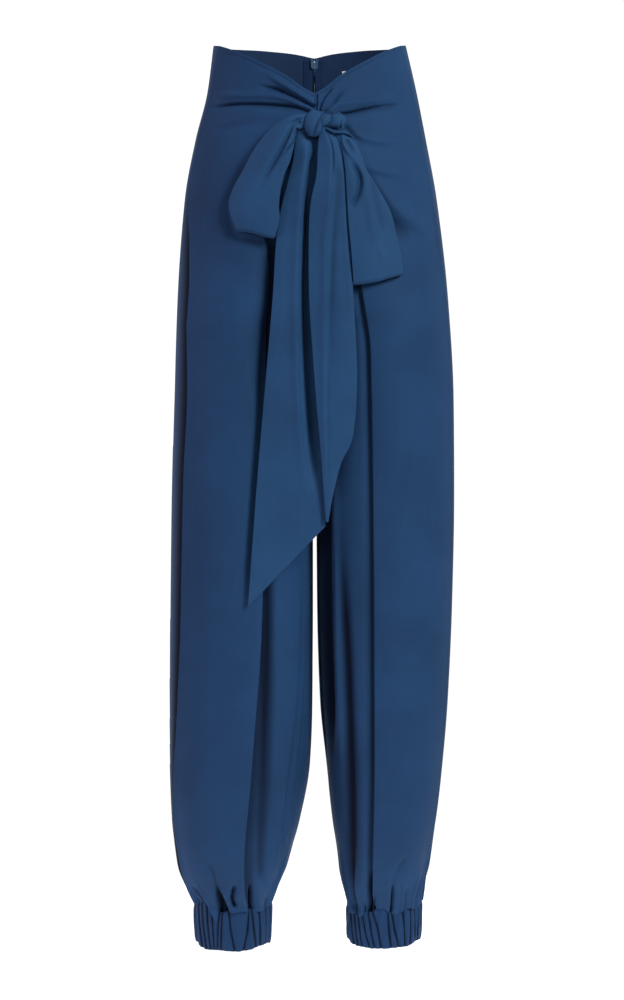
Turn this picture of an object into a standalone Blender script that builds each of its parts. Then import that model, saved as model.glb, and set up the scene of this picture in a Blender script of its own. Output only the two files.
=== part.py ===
"""High-waisted trousers with a V front, a tied bow, pleated legs and gathered cuffs.

The tables and functions work in millimetres, and a mesh is turned into metres when
it is made. X runs to the wearer's left, -Y is the front and +Z is up. The origin is
the centre of the waist opening, on the line of the centre seams. Drop is the distance
below the side corners of the waist. Each panel is a wall of cloth around the hollow
where the body goes, and each panel edge stops half a seam gap short of its neighbour.
"""
import math

import bmesh
import bpy
import numpy as np

MM = 0.001

# Driving dimensions, in millimetres
CROTCH_DROP = 335.0
SEAT_START = 150.0
HEM_DROP = 1030.0
CUFF_HEIGHT = 49.0
TOP_FADE = 250.0
CLOTH = 1.2
BOW_CLOTH = 1.6
CUFF_CLOTH = 2.2
SEAM_GAP = 0.3
ROUNDNESS = 2.2
SEAT_CURVE = 1.9
SIDE_SEAM_ANGLE = math.radians(-24)

# Knife pleat down each front leg
PLEAT_OVERLAP = 22.0
PLEAT_LAYER = 1.1
PLEAT_SPREAD = 32.0

# Gathers
CUFF_GATHERS = 28
CUFF_GATHER_HEIGHT = 1.5
LEG_GATHERS = 10
LEG_GATHER_DEPTH = 4.6
GATHERED_SEAM = 0.8

# Rows of the panels as spans of (end drop, step), and their columns
FRONT_SPANS = ((250, 14), (345, 24), (880, 76), (1030, 21))
BACK_SPANS = ((250, 28), (345, 24), (880, 76), (1030, 21))
PLEAT_COLUMNS = 10
FRONT_ZONES = (6, 6)
FRONT_COLUMNS = sum(FRONT_ZONES) + PLEAT_COLUMNS
BACK_COLUMNS = 13

# Knot, and how far round it the folds die out
KNOT_X = -2.0
KNOT_DROP = 106.0
KNOT_REACH = 15.0
KNOT_FOLD = 0.07

# Zip at the centre back: the slider's body and the pull's tab are outlines of
# (x, up) round the slider's middle, and the arch is the loop that holds the pull.
ZIP_TOP = 11.5
ZIP_LENGTH = 180.0
ZIP_SLIDER_DROP = 16.5
TAPE_START = 1.1
TAPE_WIDTH = 12.0
TAPE_CLOTH = 1.0
SLOT = 1.7
INSIDE_SEAT = 0.8
SLIDER_DEPTH = 2.2
SLIDER_HALF = ((-4.2, -3.5), (-4.5, 6.0), (-2.4, 6.4), (-0.8, 2.5))
SLIDER_TAIL = ((2.2, -6.0), (-2.2, -6.0))
ARCH_OUT = 3.7
ARCH_METAL = 1.2
ARCH_LENGTH = 4.8
ARCH_WIDTH = 1.4
PIVOT_OUT = 1.5
BAR_RADIUS = 0.55
BAR_LENGTH = 4.0
PULL_HALF = ((-2.0, -5.2), (-3.2, -9.0), (-3.6, -15.0), (-3.0, -20.0), (-1.6, -22.5))
PULL_ARM = 1.0
PULL_ARM_END = -6.5

# Label inside the back: between two distances from the centre and two drops
LABEL_ACROSS = (34.0, 58.0)
LABEL_DROPS = (25.0, 39.5)
LABEL_CLOTH = 0.8

# Leg and body rings: how far the outer and inner edges stand from the centre line
# on the wearer's right and left, and how far the front and back stand out.
FORM = {
    "names": ("drop", "right", "left", "right_inner", "left_inner", "front", "back"),
    "rows": (
        (0, 119, 107, 2, 2, 90, 92),
        (60, 127, 121, 2, 2, 93, 92.5),
        (115, 141, 132, 2, 2, 99, 101),
        (185, 154, 145, 2, 2, 104, 108),
        (305, 163, 159, 2, 2, 105, 110),
        (425, 167, 166, 2, 2, 99, 106),
        (545, 170, 167, 2, 3, 94, 101),
        (665, 172, 165, 2, 4, 90, 96),
        (785, 173, 160, 3, 8, 87, 92),
        (860, 173, 154, 6, 15, 84, 88),
        (930, 171, 148, 18, 22, 78, 82),
        (980, 164, 138, 33, 30, 68, 71),
        (1005, 157, 134, 42, 33, 57, 60),
        (1030, 146, 130, 51, 38, 41, 42),
    ),
}

# Top edge: how far it lies below the side corners, by its place from the centre (0)
# to the corner (1).
FRONT_TOP = {
    "names": ("place", "drop"),
    "rows": (
        (0, 68),
        (0.12, 60),
        (0.27, 47),
        (0.42, 37),
        (0.55, 29),
        (0.68, 21),
        (0.81, 14),
        (0.93, 8),
        (1, 5),
    ),
}
BACK_TOP = {
    "names": ("place", "drop"),
    "rows": ((0, 9), (0.05, 8), (0.12, 6), (0.25, 3.5), (0.4, 2), (0.6, 1), (0.85, 2), (1, 5)),
}

# Outer edge of the knife pleat, from the centre line, and how far it is folded.
PLEAT = {
    "names": ("drop", "right", "left", "folded"),
    "rows": (
        (0, 45, 40, 0),
        (150, 48, 46, 0),
        (285, 53, 55, 1),
        (365, 56, 66, 1),
        (665, 62, 71, 1),
        (865, 76, 72, 1),
        (980, 87, 71, 0.8),
        (1030, 90, 74, 0.25),
    ),
}

# Drape folds of the front, as start, middle and end points from the centre line to
# the wearer's left (x) and down (drop). A positive height is a ridge.
FOLD_NAMES = ("x1", "drop1", "x2", "drop2", "x3", "drop3", "width", "height")
FOLDS = (
    (-64, 52, -34, 68, -14, 86, 7, 2.0),
    (-70, 66, -42, 78, -18, 93, 6, -2.2),
    (-114, 70, -68, 67, -20, 99, 7, 1.6),
    (-118, 82, -78, 81, -22, 106, 7, -2.4),
    (14, 60, 11, 72, 8, 84, 5, 1.4),
    (20, 86, 38, 76, 72, 72, 7, 2.0),
    (16, 98, 44, 88, 96, 80, 7, -3.2),
    (35, 112, 54, 122, 78, 134, 8, -1.8),
    (58, 150, 76, 156, 98, 161, 9, 1.8),
    (60, 168, 92, 204, 120, 224, 12, -2.4),
    (-120, 104, -96, 104, -66, 112, 9, -1.6),
    (-20, 655, -31, 840, -44, 985, 9, -3.0),
    (44, 820, 43, 930, 52, 1020, 9, -3.0),
)

# Hanging ends: the two edges of each end, by their distance from the centre line and
# their drop. The first row is tucked under the knot.
EDGE_NAMES = ("x1", "drop1", "x2", "drop2")
TAIL_RIGHT = (
    (-12, 116.5, -3, 117.5),
    (-22, 136, -8, 135),
    (-34, 190, -7, 184),
    (-41, 238, -6, 226),
    (-48, 306, -3, 288),
    (-58, 420, 3, 384),
    (-67, 530, 8, 478),
    (-77, 658, 12, 566),
)
TAIL_LEFT = (
    (3.7, 117.7, 15, 114.4),
    (3, 136, 29, 134),
    (-4, 192, 34, 190),
    (-6, 238, 39, 237),
    (-5, 306, 44, 306),
    (0, 391, 48, 385),
    (6, 450, 45, 440),
    (9, 492, 31, 482),
    (12, 530, 21, 526),
    (14, 560, 16, 558),
)

# Hanging loops: outer and inner edge of the front layer, from the knot to the fold.
LOOP_RIGHT = (
    (-12.1, 99, -12.2, 111),
    (-29, 99, -23, 114),
    (-45, 106, -25, 122),
    (-60, 122, -26, 133),
    (-71, 138, -28, 146),
    (-83, 158, -31, 161),
    (-93, 180, -38, 181),
    (-98, 201, -43, 201),
    (-96, 216, -44, 218),
    (-91, 229, -46, 234),
)
LOOP_LEFT = (
    (31.5, 112.9, 22.5, 114.2),
    (40, 124, 30, 129),
    (48, 134, 34, 142),
    (57, 152, 37, 159),
    (72, 178, 38, 182),
    (83, 202, 39, 205),
    (92, 232, 42, 233),
    (97, 258, 45, 259),
    (102, 280, 48, 288),
)

# Pieces of the knot, as rings along their length. Stand-off is from where the bow's
# cloth would rest, and the two radii are across the front and out of it.
RING_NAMES = ("x", "drop", "stand_off", "across", "out")
KNOT_RINGS = (
    (-2, 92, 9.6, 0, 0),
    (-2, 93.5, 9.6, 4.8, 4.2),
    (-2, 97, 9.7, 7.7, 6.8),
    (-2, 102, 9.8, 9.4, 8.1),
    (-2, 108, 9.8, 9.6, 8.2),
    (-2, 113.5, 9.7, 8.2, 7.1),
    (-2, 117.5, 9.6, 5.2, 4.8),
    (-2, 119.5, 9.6, 0, 0),
)
KNOB_RINGS = (
    (8.7, 107, 9.6, 0, 0),
    (11, 106.6, 9.6, 3, 3),
    (15, 105.2, 9.5, 5.4, 5),
    (20, 104, 10, 8, 7),
    (26, 103.2, 10.5, 9.8, 8.4),
    (30.5, 103.5, 10, 8, 7),
    (33, 104, 9.5, 0, 0),
)
BAND_RINGS = (
    (11.6, 93, 9, 0, 0),
    (11.7, 94, 9, 4.6, 3.4),
    (11.6, 97, 9, 3.7, 3.6),
    (11, 99.6, 9, 1.9, 2.4),
    (10.6, 101.2, 9, 0, 0),
)

# Rings of each piece of the knot: corners round it, folds in its cloth, and twist
KNOT_PIECES = (
    ("knot", KNOT_RINGS, 16, 5, 0.5),
    ("knot_knob", KNOB_RINGS, 14, 4, 0.4),
    ("knot_band", BAND_RINGS, 10, 3, 0.3),
)


def read(table, name, at):
    """Read a table's column along its first one, on a curve that does not overshoot."""
    rows = np.array(table["rows"], dtype=float)
    x = rows[:, 0]
    y = rows[:, table["names"].index(name)]
    step = np.diff(x)
    rise = np.diff(y) / step
    slope = np.zeros(len(x))
    same_way = rise[1:] * rise[:-1] > 0
    total = np.where(same_way, rise[1:] + rise[:-1], 1.0)
    slope[1:-1] = np.where(same_way, 2 * rise[1:] * rise[:-1] / total, 0.0)
    slope[0] = rise[0]
    slope[-1] = rise[-1]
    at = np.clip(np.asarray(at, dtype=float), x[0], x[-1])
    i = np.clip(np.searchsorted(x, at, side="right") - 1, 0, len(x) - 2)
    t = (at - x[i]) / step[i]
    start = y[i] * (1 + 2 * t) * (1 - t) ** 2 + step[i] * slope[i] * t * (1 - t) ** 2
    end = y[i + 1] * t ** 2 * (3 - 2 * t) + step[i] * slope[i + 1] * t ** 2 * (t - 1)
    return start + end


def ease(value):
    """Go smoothly from 0 to 1."""
    value = np.clip(value, 0.0, 1.0)
    return value * value * (3 - 2 * value)


def power(value, exponent):
    """Raise a value to a power and keep its sign."""
    return np.sign(value) * np.abs(value) ** exponent


def ring(side, drop):
    """Give one side's ring at a drop: half width, centre, front depth and back depth.

    Above the crotch the two sides' rings overlap, and each is cut at the centre line,
    which draws the crotch seam. Below it each is a whole leg.
    """
    outer = np.where(side < 0, read(FORM, "right", drop), read(FORM, "left", drop))
    inner = np.where(side < 0, read(FORM, "right_inner", drop), read(FORM, "left_inner", drop))
    part = np.clip((drop - SEAT_START) / (CROTCH_DROP - SEAT_START), 0, 1) ** SEAT_CURVE
    half = (outer - inner * part) / (1 + part)
    return half, outer - half, read(FORM, "front", drop), read(FORM, "back", drop)


def angle_at(side, drop, across):
    """Give the ring's angle at a distance from the centre line, 0 at the outer edge."""
    half, centre, _, _ = ring(side, drop)
    return np.arccos(np.clip(power((across - centre) / half, ROUNDNESS / 2), -1, 1))


def skin(side, drop, angle, out):
    """Give points at an angle of the ring, moved out along its normal.

    A negative angle is on the front and a positive one on the back.
    """
    half, centre, front, back = ring(side, drop)
    depth = np.where(angle < 0, front, back)
    cos = np.cos(angle)
    sin = np.sin(angle)
    x = centre + half * power(cos, 2 / ROUNDNESS)
    y = depth * power(sin, 2 / ROUNDNESS)
    normal_x = power(cos, 2 - 2 / ROUNDNESS) / half
    normal_y = power(sin, 2 - 2 / ROUNDNESS) / depth
    size = np.hypot(normal_x, normal_y)
    x = x + out * normal_x / size
    y = y + out * normal_y / size
    return np.stack([side * x, y, -drop], axis=-1)


def arc_radius(side, drop, angle):
    """Give the length of arc for each radian at an angle of the ring."""
    half, _, front, back = ring(side, drop)
    depth = np.where(angle < 0, front, back)
    return np.hypot(half * np.sin(angle), depth * np.cos(angle))


def fold_height(x, drop):
    """Add up the drape folds' heights at points of the front."""
    height = np.zeros(np.broadcast(x, drop).shape)
    for fold in FOLDS:
        row = dict(zip(FOLD_NAMES, fold))
        near = np.full(height.shape, np.inf)
        fade = np.zeros(height.shape)
        for t in np.linspace(0, 1, 15):
            weights = ((1 - t) * (1 - 2 * t), 4 * t * (1 - t), t * (2 * t - 1))
            px = sum(w * row["x" + key] for w, key in zip(weights, "123"))
            pd = sum(w * row["drop" + key] for w, key in zip(weights, "123"))
            away = np.hypot(x - px, drop - pd)
            fade = np.where(away < near, ease(3 * min(t, 1 - t) + 0.25), fade)
            near = np.minimum(near, away)
        height += row["height"] * fade * np.exp(-(near / row["width"]) ** 2)
    from_knot = np.hypot(x - KNOT_X, drop - KNOT_DROP)
    return height * ease((from_knot - KNOT_REACH) / KNOT_REACH)


def leg_gathers(angle, drop, phase):
    """Give the height of the gathers above the cuff, which die out up the leg."""
    strength = ease((drop - 925) / 75) * (1 - 0.5 * ease((drop - 1010) / 20))
    wave = np.sin(LEG_GATHERS * angle + phase + 0.9 * np.sin(3 * angle + phase))
    long_wave = np.sin(4 * angle + 2 * phase)
    return LEG_GATHER_DEPTH * strength * (0.75 * wave + 0.25 * long_wave)


def panel_drops(side, points, spans):
    """Spread rows from the top edge to the ankle, in spans of (end, step).

    The top edge is read where the columns of the panel laid out so far meet it.
    """
    place = np.clip(np.abs(points[0, :, 0]) / ring(side, np.zeros(1))[0], 0, 1)
    in_front = points[0, :, 1] < 0
    top = np.where(in_front, read(FRONT_TOP, "drop", place), read(BACK_TOP, "drop", place))
    levels = [0.0]
    for end, step in spans:
        count = max(1, round((end - levels[-1]) / step))
        levels += list(np.linspace(levels[-1], end, count + 1)[1:])
    level = np.array(levels)[:, None]
    return level + top[None, :] * np.clip(1 - level / TOP_FADE, 0, 1)


def pleat_profile(folded):
    """Give the pleat's columns as (along the cloth's arc, out) at a folded share."""
    r = PLEAT_LAYER
    bulge = 0.87 * r
    back = -PLEAT_OVERLAP
    closed = np.array([
        (0, 0),
        (bulge, -0.5 * r),
        (bulge, -1.5 * r),
        (0, -2 * r),
        (back / 2, -2 * r),
        (back, -2 * r),
        (back - bulge, -2.5 * r),
        (back - bulge, -3.5 * r),
        (back, -4 * r),
        (back / 2, -4 * r),
    ])
    flat = np.linspace(-PLEAT_SPREAD, PLEAT_SPREAD, len(closed))
    along = flat + (closed[:, 0] - flat) * folded
    return along, closed[:, 1] * folded


def end_angle(side, drop, edge, depth_name):
    """Give the angle where a panel meets the centre seam, or the inseam lower down."""
    depth = read(FORM, depth_name, drop)
    inseam = math.pi - np.arcsin((SEAM_GAP / 2 / depth) ** (ROUNDNESS / 2))
    return np.minimum(angle_at(side, drop, edge), inseam)


def seam_angle(side, drop, way):
    """Give the side seam's angle, half a seam gap to the front (-1) or back (1)."""
    radius = arc_radius(side, drop, np.full_like(drop, SIDE_SEAM_ANGLE))
    gap = SEAM_GAP + GATHERED_SEAM * ease((drop - 925) / 60)
    return SIDE_SEAM_ANGLE + way * gap / 2 / radius


def front_points(side, drops):
    """Lay out one front leg panel with its knife pleat, folds and gathers."""
    outer_columns, inner_columns = FRONT_ZONES
    angles = np.zeros(drops.shape)
    out = np.zeros(drops.shape)
    for i, drop in enumerate(drops):
        name = "right" if side < 0 else "left"
        level = drop[outer_columns]
        pleat_edge = -angle_at(side, level, read(PLEAT, name, level))
        radius = arc_radius(side, level, pleat_edge)
        along, inwards = pleat_profile(read(PLEAT, "folded", level))
        pleat = pleat_edge - along / radius
        first = seam_angle(side, drop[:1], -1)[0]
        last = -end_angle(side, drop[-1:], SEAM_GAP / 2, "front")[0]
        outer = first + (pleat[0] - first) * np.arange(outer_columns) / outer_columns
        step = np.arange(1, inner_columns + 1) / inner_columns
        inner = pleat[-1] + (last - pleat[-1]) * step
        angles[i] = np.concatenate([outer, pleat, inner])
        out[i] = np.concatenate([np.zeros(outer_columns), inwards, inwards[-1] * (1 - ease(step))])
    base = skin(side, drops, angles, 0)
    edge_fade = np.ones(drops.shape[1])
    edge_fade[:2] = (0, 0.6)
    edge_fade[-1] = 0.5
    out += fold_height(base[..., 0], drops) * edge_fade
    out += leg_gathers(angles, drops, 0.4 * side)
    return skin(side, drops, angles, out)


def back_points(side, drops):
    """Lay out one back leg panel, which wraps forward to the side seam."""
    columns = drops.shape[1]
    angles = np.zeros(drops.shape)
    for i, drop in enumerate(drops):
        slot = SEAM_GAP / 2 + SLOT * (1 - ease((drop[-1:] - ZIP_SLIDER_DROP - 6) / 8))
        first = seam_angle(side, drop[:1], 1)[0]
        last = end_angle(side, drop[-1:], slot, "back")[0]
        angles[i] = first + (last - first) * np.linspace(0, 1, columns) ** 0.92
    out = leg_gathers(angles, drops, 0.4 * side)
    return skin(side, drops, angles, out)


def linear(red, green, blue):
    """Turn a colour as seen (0 to 255) into the shader's linear values."""
    return tuple((part / 255) ** 2.2 for part in (red, green, blue)) + (1.0,)


def finish(name, colour, roughness, metallic=0.0):
    """Make a Principled material for one sub-part."""
    material = bpy.data.materials.new(name + "_finish")
    material.use_nodes = True
    shader = material.node_tree.nodes["Principled BSDF"]
    shader.inputs["Base Color"].default_value = linear(*colour)
    shader.inputs["Roughness"].default_value = roughness
    shader.inputs["Metallic"].default_value = metallic
    return material


def add_object(name, vertices, faces, colour, roughness=0.75, metallic=0.0, at=(0, 0, 0)):
    """Make a closed mesh object from points in millimetres, its faces pointing out."""
    mesh = bpy.data.meshes.new(name)
    points = (np.array(vertices, dtype=float) - np.array(at)) * MM
    mesh.from_pydata([tuple(p) for p in points], [], faces)
    work = bmesh.new()
    work.from_mesh(mesh)
    bmesh.ops.recalc_face_normals(work, faces=work.faces)
    work.to_mesh(mesh)
    work.free()
    mesh.shade_smooth()
    mesh.set_sharp_from_angle(angle=math.radians(40))
    mesh.materials.append(finish(name, colour, roughness, metallic))
    thing = bpy.data.objects.new(name, mesh)
    thing.location = [value * MM for value in at]
    bpy.context.scene.collection.objects.link(thing)
    return thing


def grid_faces(rows, columns, first, around=False):
    """List the quads of a grid of points, closed round its columns where asked."""
    faces = []
    for i in range(rows - 1):
        for j in range(columns if around else columns - 1):
            k = (j + 1) % columns
            faces.append((
                first + i * columns + j,
                first + i * columns + k,
                first + (i + 1) * columns + k,
                first + (i + 1) * columns + j,
            ))
    return faces


def wall(outer, inner, around=False):
    """Join an outer and an inner grid of points into one closed wall."""
    rows, columns, _ = outer.shape
    count = rows * columns
    vertices = np.concatenate([outer.reshape(-1, 3), inner.reshape(-1, 3)])
    faces = grid_faces(rows, columns, 0, around)
    faces += [face[::-1] for face in grid_faces(rows, columns, count, around)]
    top = list(range(columns))
    bottom = [(rows - 1) * columns + j for j in range(columns)]
    if around:
        rims = (top + top[:1], bottom[::-1] + bottom[-1:])
    else:
        left = [i * columns for i in range(rows)]
        right = [i * columns + columns - 1 for i in range(rows)]
        rims = (top, right, bottom[::-1], left[::-1])
    for rim in rims:
        for a, b in zip(rim[:-1], rim[1:]):
            faces.append((b, a, a + count, b + count))
    return vertices, faces


def normals_of(points):
    """Give the unit normals of a grid of points."""
    down = np.gradient(points, axis=0)
    across = np.gradient(points, axis=1)
    normal = np.cross(down, across)
    return normal / np.linalg.norm(normal, axis=-1, keepdims=True)


def two_faces(points, thickness, outward):
    """Offset a grid of points to both sides. Outward gives a point of the outside."""
    normal = normals_of(points)
    middle = points.shape[0] // 2, points.shape[1] // 2
    if np.dot(normal[middle], outward) < 0:
        normal = -normal
    return points + normal * thickness / 2, points - normal * thickness / 2


def lay_panel(side, front):
    """Lay out a panel, then again with its top edge where its columns really meet it."""
    lay, spans, columns = front_points, FRONT_SPANS, FRONT_COLUMNS
    if not front:
        lay, spans, columns = back_points, BACK_SPANS, BACK_COLUMNS
    outer = float(ring(side, np.array(0.0))[0])
    points = np.zeros((1, columns, 3))
    points[0, :, 0] = np.linspace(outer, 0, columns)
    points[0, :, 1] = -1 if front else 1
    for _ in range(4):
        points = lay(side, panel_drops(side, points, spans))
    return points


def add_panel(name, side, front):
    """Add one leg panel, its edges trimmed square at the seams."""
    points = lay_panel(side, front)
    faces = two_faces(points, CLOTH, (side * 0.5, -1 if front else 1, 0))
    drops = -points[:, -1, 2]
    on_centre = np.abs(points[:, -1, 0]) < SEAM_GAP / 2 + SLOT + 0.01
    for grid in faces:
        grid[-1, :, 2] = -HEM_DROP
        edge = np.abs(points[:, -1, 0])
        grid[on_centre, -1, 0] = side * edge[on_centre]
        limit = SEAM_GAP / 2
        below = drops > CROTCH_DROP - 12
        if front:
            grid[below, -1, 1] = np.minimum(grid[below, -1, 1], -limit)
        else:
            grid[below, -1, 1] = np.maximum(grid[below, -1, 1], limit)
        grid[..., 0] = side * np.maximum(side * grid[..., 0], limit)
    vertices, quads = wall(*faces)
    return add_object(name, vertices, quads, (40, 66, 100))


def add_cuff(name, side):
    """Add one elasticated cuff, with gathers outside and a plain inside."""
    columns = CUFF_GATHERS * 3
    angle = np.linspace(0, 2 * math.pi, columns, endpoint=False)[None, :]
    level = np.array([0.0, 0.25, 0.8, 1.0])[:, None]
    drop = HEM_DROP + SEAM_GAP + level * CUFF_HEIGHT
    half, centre, front, _ = ring(side, np.array(HEM_DROP))
    slant = 2.4 * (level - 0.5) * np.sin(angle + side)
    wave = np.sin(CUFF_GATHERS * angle + slant)
    swell = 0.35 + 0.65 * np.sin(math.pi * np.clip(level, 0.05, 0.95))
    rise = CUFF_GATHER_HEIGHT * swell * (0.6 + 0.4 * np.sin(5 * angle + side)) * wave
    rings = []
    for out in (CUFF_CLOTH / 2 + 0.5 + rise, -CUFF_CLOTH / 2 + 0 * rise):
        x = side * (centre + (half - 1.5 + out) * np.cos(angle))
        y = (front - 0.5 + out) * np.sin(angle)
        rings.append(np.stack([x, y, -drop + 0 * angle], axis=-1))
    vertices, quads = wall(rings[0], rings[1], around=True)
    return add_object(name, vertices, quads, (32, 55, 86))


def rest_depth(x, drop):
    """Give how far forward the bow's cloth hangs, across the hollow between the legs."""
    half, centre, front, _ = ring(np.where(x < 0, -1, 1), drop)
    reach = np.clip((np.abs(x) - centre) / half, 0, 0.98)
    return front * (1 - reach ** ROUNDNESS) ** (1 / ROUNDNESS)


def strip_points(edges, across, along):
    """Fill a strip between its two edges, smoothly, as x and drop."""
    table = np.array(edges, dtype=float)
    names = ("row",) + EDGE_NAMES
    rows = tuple((i,) + tuple(row) for i, row in enumerate(table))
    at = np.linspace(0, len(table) - 1, along)
    x1, d1, x2, d2 = (read({"names": names, "rows": rows}, key, at)[:, None] for key in EDGE_NAMES)
    share = np.linspace(0, 1, across)[None, :]
    return x1 + (x2 - x1) * share, d1 + (d2 - d1) * share


def add_tail(name, edges, knot_off, stand_off, along):
    """Add one hanging end, a single strip that lies along the front."""
    x, drop = strip_points(edges, 7, along)
    share = np.linspace(0, 1, 7)[None, :]
    length = np.linspace(0, 1, along)[:, None]
    crown = 1.6 * np.sin(math.pi * share) - 1.2 * np.exp(-((share - 0.5) / 0.14) ** 2)
    away = knot_off + (stand_off - knot_off + crown) * ease(length * 6)
    points = np.stack([x, -(rest_depth(x, drop) + away), -drop], axis=-1)
    vertices, quads = wall(*two_faces(points, BOW_CLOTH, (0, -1, 0)))
    return add_object(name, vertices, quads, (42, 74, 110))


def add_loop(name, edges):
    """Add one hanging loop: a front layer, a round fold at the bottom, a back layer."""
    across = 6
    along = 14
    x, drop = strip_points(edges, across, along)
    share = np.linspace(0, 1, across)[None, :]
    length = np.linspace(0, 1, along)[:, None]
    back_off = 4.4 + 0 * (share + length) + 3.2 * (1 - ease(length * 5))
    crown = 2.6 * np.sin(math.pi * share)
    front_off = 10.4 + (6.0 + crown) * ease(length * 2.2) - 3.5 * ease(length * 3 - 2)
    middle = (x[:, :1] + x[:, -1:]) / 2
    back_x = middle + (x - middle) * 0.9
    front = np.stack([x, -(rest_depth(x, drop) + front_off), -drop], axis=-1)
    back = np.stack([back_x, -(rest_depth(back_x, drop) + back_off), -drop], axis=-1)
    end = (front[-1] + back[-1]) / 2
    reach = (front[-1] - back[-1]) / 2
    turn = []
    for angle in np.radians((35, 75, 105, 145)):
        hang = np.linalg.norm(reach, axis=-1, keepdims=True) * math.sin(angle)
        turn.append(end + reach * math.cos(angle) + hang * np.array([0, 0, -1.0]))
    points = np.concatenate([front, np.array(turn), back[::-1]])
    vertices, quads = wall(*two_faces(points, BOW_CLOTH, (0, -1, 0)))
    return add_object(name, vertices, quads, (42, 74, 110))


def add_lump(name, table, sides, ridges, turn):
    """Add a piece of the knot as a loft of rings along its length.

    The ends close to a point. Ridges are the folds of cloth round it, and turn twists
    them.
    """
    x, drop, stand_off, across, out_of = np.array(table, dtype=float).T
    path = np.stack([x, -(rest_depth(x, drop) + stand_off), -drop], axis=-1)
    rings = []
    for i in range(1, len(path) - 1):
        ahead = path[i + 1] - path[i - 1]
        ahead = ahead / np.linalg.norm(ahead)
        out = np.array([0, -1.0, 0])
        out = out - ahead * np.dot(out, ahead)
        out = out / np.linalg.norm(out)
        aside = np.cross(ahead, out)
        for j in range(sides):
            angle = 2 * math.pi * j / sides
            rise = 1 + KNOT_FOLD * math.cos(ridges * angle + turn * i)
            reach = aside * across[i] * math.cos(angle) + out * out_of[i] * math.sin(angle)
            rings.append(path[i] + rise * reach)
    count = len(path) - 2
    vertices = np.concatenate([np.array(rings), path[:1], path[-1:]])
    faces = grid_faces(count, sides, 0, around=True)
    start, end = count * sides, count * sides + 1
    for j in range(sides):
        k = (j + 1) % sides
        faces.append((start, k, j))
        faces.append((end, (count - 1) * sides + j, (count - 1) * sides + k))
    return add_object(name, vertices, faces, (42, 74, 110))


def back_patch(side, across, drops, columns, rows, inwards):
    """Lay out points inside the back, between two distances and two drops."""
    x = np.linspace(across[0], across[1], columns)[None, :]
    drop = np.linspace(drops[0], drops[1], rows)[:, None] + 0 * x
    return skin(side, drop, angle_at(side, drop, x + 0 * drop), -inwards)


def add_patch(name, points, thickness, colour):
    """Add a flat piece that lies inside the back."""
    vertices, quads = wall(*two_faces(points, thickness, (0, 1, 0)))
    return add_object(name, vertices, quads, colour)


def outline_mesh(outline, low, high, axis):
    """Extrude a closed outline of (first, second) points along X or Y."""
    count = len(outline)
    corners = []
    for depth in (low, high):
        for first, second in outline:
            corners.append((depth, first, second) if axis == "X" else (first, depth, second))
    faces = [tuple(range(count))[::-1], tuple(range(count, 2 * count))]
    for i in range(count):
        k = (i + 1) % count
        faces.append((i, k, count + k, count + i))
    return corners, faces


def both_sides(half):
    """Mirror half an outline of (x, up) points across the centre line."""
    return list(half) + [(-x, up) for x, up in half[::-1]]


def raised(outline, x, z):
    """Move an outline to the slider's place."""
    return [(x + across, z + up) for across, up in outline]


def union(name, shapes, colour, roughness, metallic, at):
    """Join overlapping closed shapes into one solid."""
    first = add_object(name, *shapes[0], colour, roughness, metallic, at)
    for i, shape in enumerate(shapes[1:]):
        other = add_object("{}_add_{}".format(name, i), *shape, colour, roughness, metallic, at)
        other.hide_render = True
        other.display_type = "WIRE"
        join = first.modifiers.new("join_{}".format(i), "BOOLEAN")
        join.operation = "UNION"
        join.solver = "EXACT"
        join.object = other
    return first


def add_zip():
    """Add the concealed zip at the centre back: two tapes, a slider and its pull."""
    face = float(read(FORM, "back", ZIP_SLIDER_DROP)) + CLOTH / 2
    inside = face - CLOTH - INSIDE_SEAT
    offset = CLOTH / 2 + INSIDE_SEAT + TAPE_CLOTH / 2
    for name, side in (("zip_tape_right", -1), ("zip_tape_left", 1)):
        across = (TAPE_START, TAPE_START + TAPE_WIDTH)
        points = back_patch(side, across, (ZIP_TOP, ZIP_LENGTH), 4, 12, offset)
        add_patch(name, points, TAPE_CLOTH, (28, 46, 74))
    body_out = inside - TAPE_CLOTH - SEAM_GAP
    body_in = body_out - SLIDER_DEPTH
    z = -ZIP_SLIDER_DROP
    shield = raised(both_sides(SLIDER_HALF) + list(SLIDER_TAIL), 0, z)
    foot = body_in + SLIDER_DEPTH / 4
    top = face + ARCH_OUT
    high = ARCH_LENGTH / 2
    under = high - ARCH_METAL * 0.8
    arch = [(foot, -high), (top, -high), (top, high), (foot, high), (foot, under)]
    arch += [(top - ARCH_METAL, under), (top - ARCH_METAL, -under), (foot, -under)]
    shapes = [
        outline_mesh(shield, body_in, body_out, "Y"),
        outline_mesh(raised(arch, 0, z), -ARCH_WIDTH / 2, ARCH_WIDTH / 2, "X"),
    ]
    union("zip_slider", shapes, (70, 104, 138), 0.35, 0.8, (0, 0, 0))

    pivot = (0, face + PIVOT_OUT, z)
    turns = np.linspace(0, 2 * math.pi, 12)[:-1]
    bar = [(BAR_RADIUS * math.cos(a), BAR_RADIUS * math.sin(a)) for a in turns]
    near = pivot[1] - BAR_RADIUS
    far = pivot[1] + BAR_RADIUS
    shapes = [
        outline_mesh(raised(both_sides(PULL_HALF), 0, z), near, far, "Y"),
        outline_mesh(raised(bar, pivot[1], z), -BAR_LENGTH / 2, BAR_LENGTH / 2, "X"),
    ]
    half = BAR_LENGTH / 2 + 0.1
    for x in (-half, half - PULL_ARM):
        arm = [(x, PULL_ARM_END), (x + PULL_ARM, PULL_ARM_END), (x + PULL_ARM, 0.2), (x, 0.2)]
        shapes.append(outline_mesh(raised(arm, 0, z), near + 0.05, far - 0.05, "Y"))
    union("zip_pull", shapes, (70, 104, 138), 0.35, 0.8, pivot)


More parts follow.
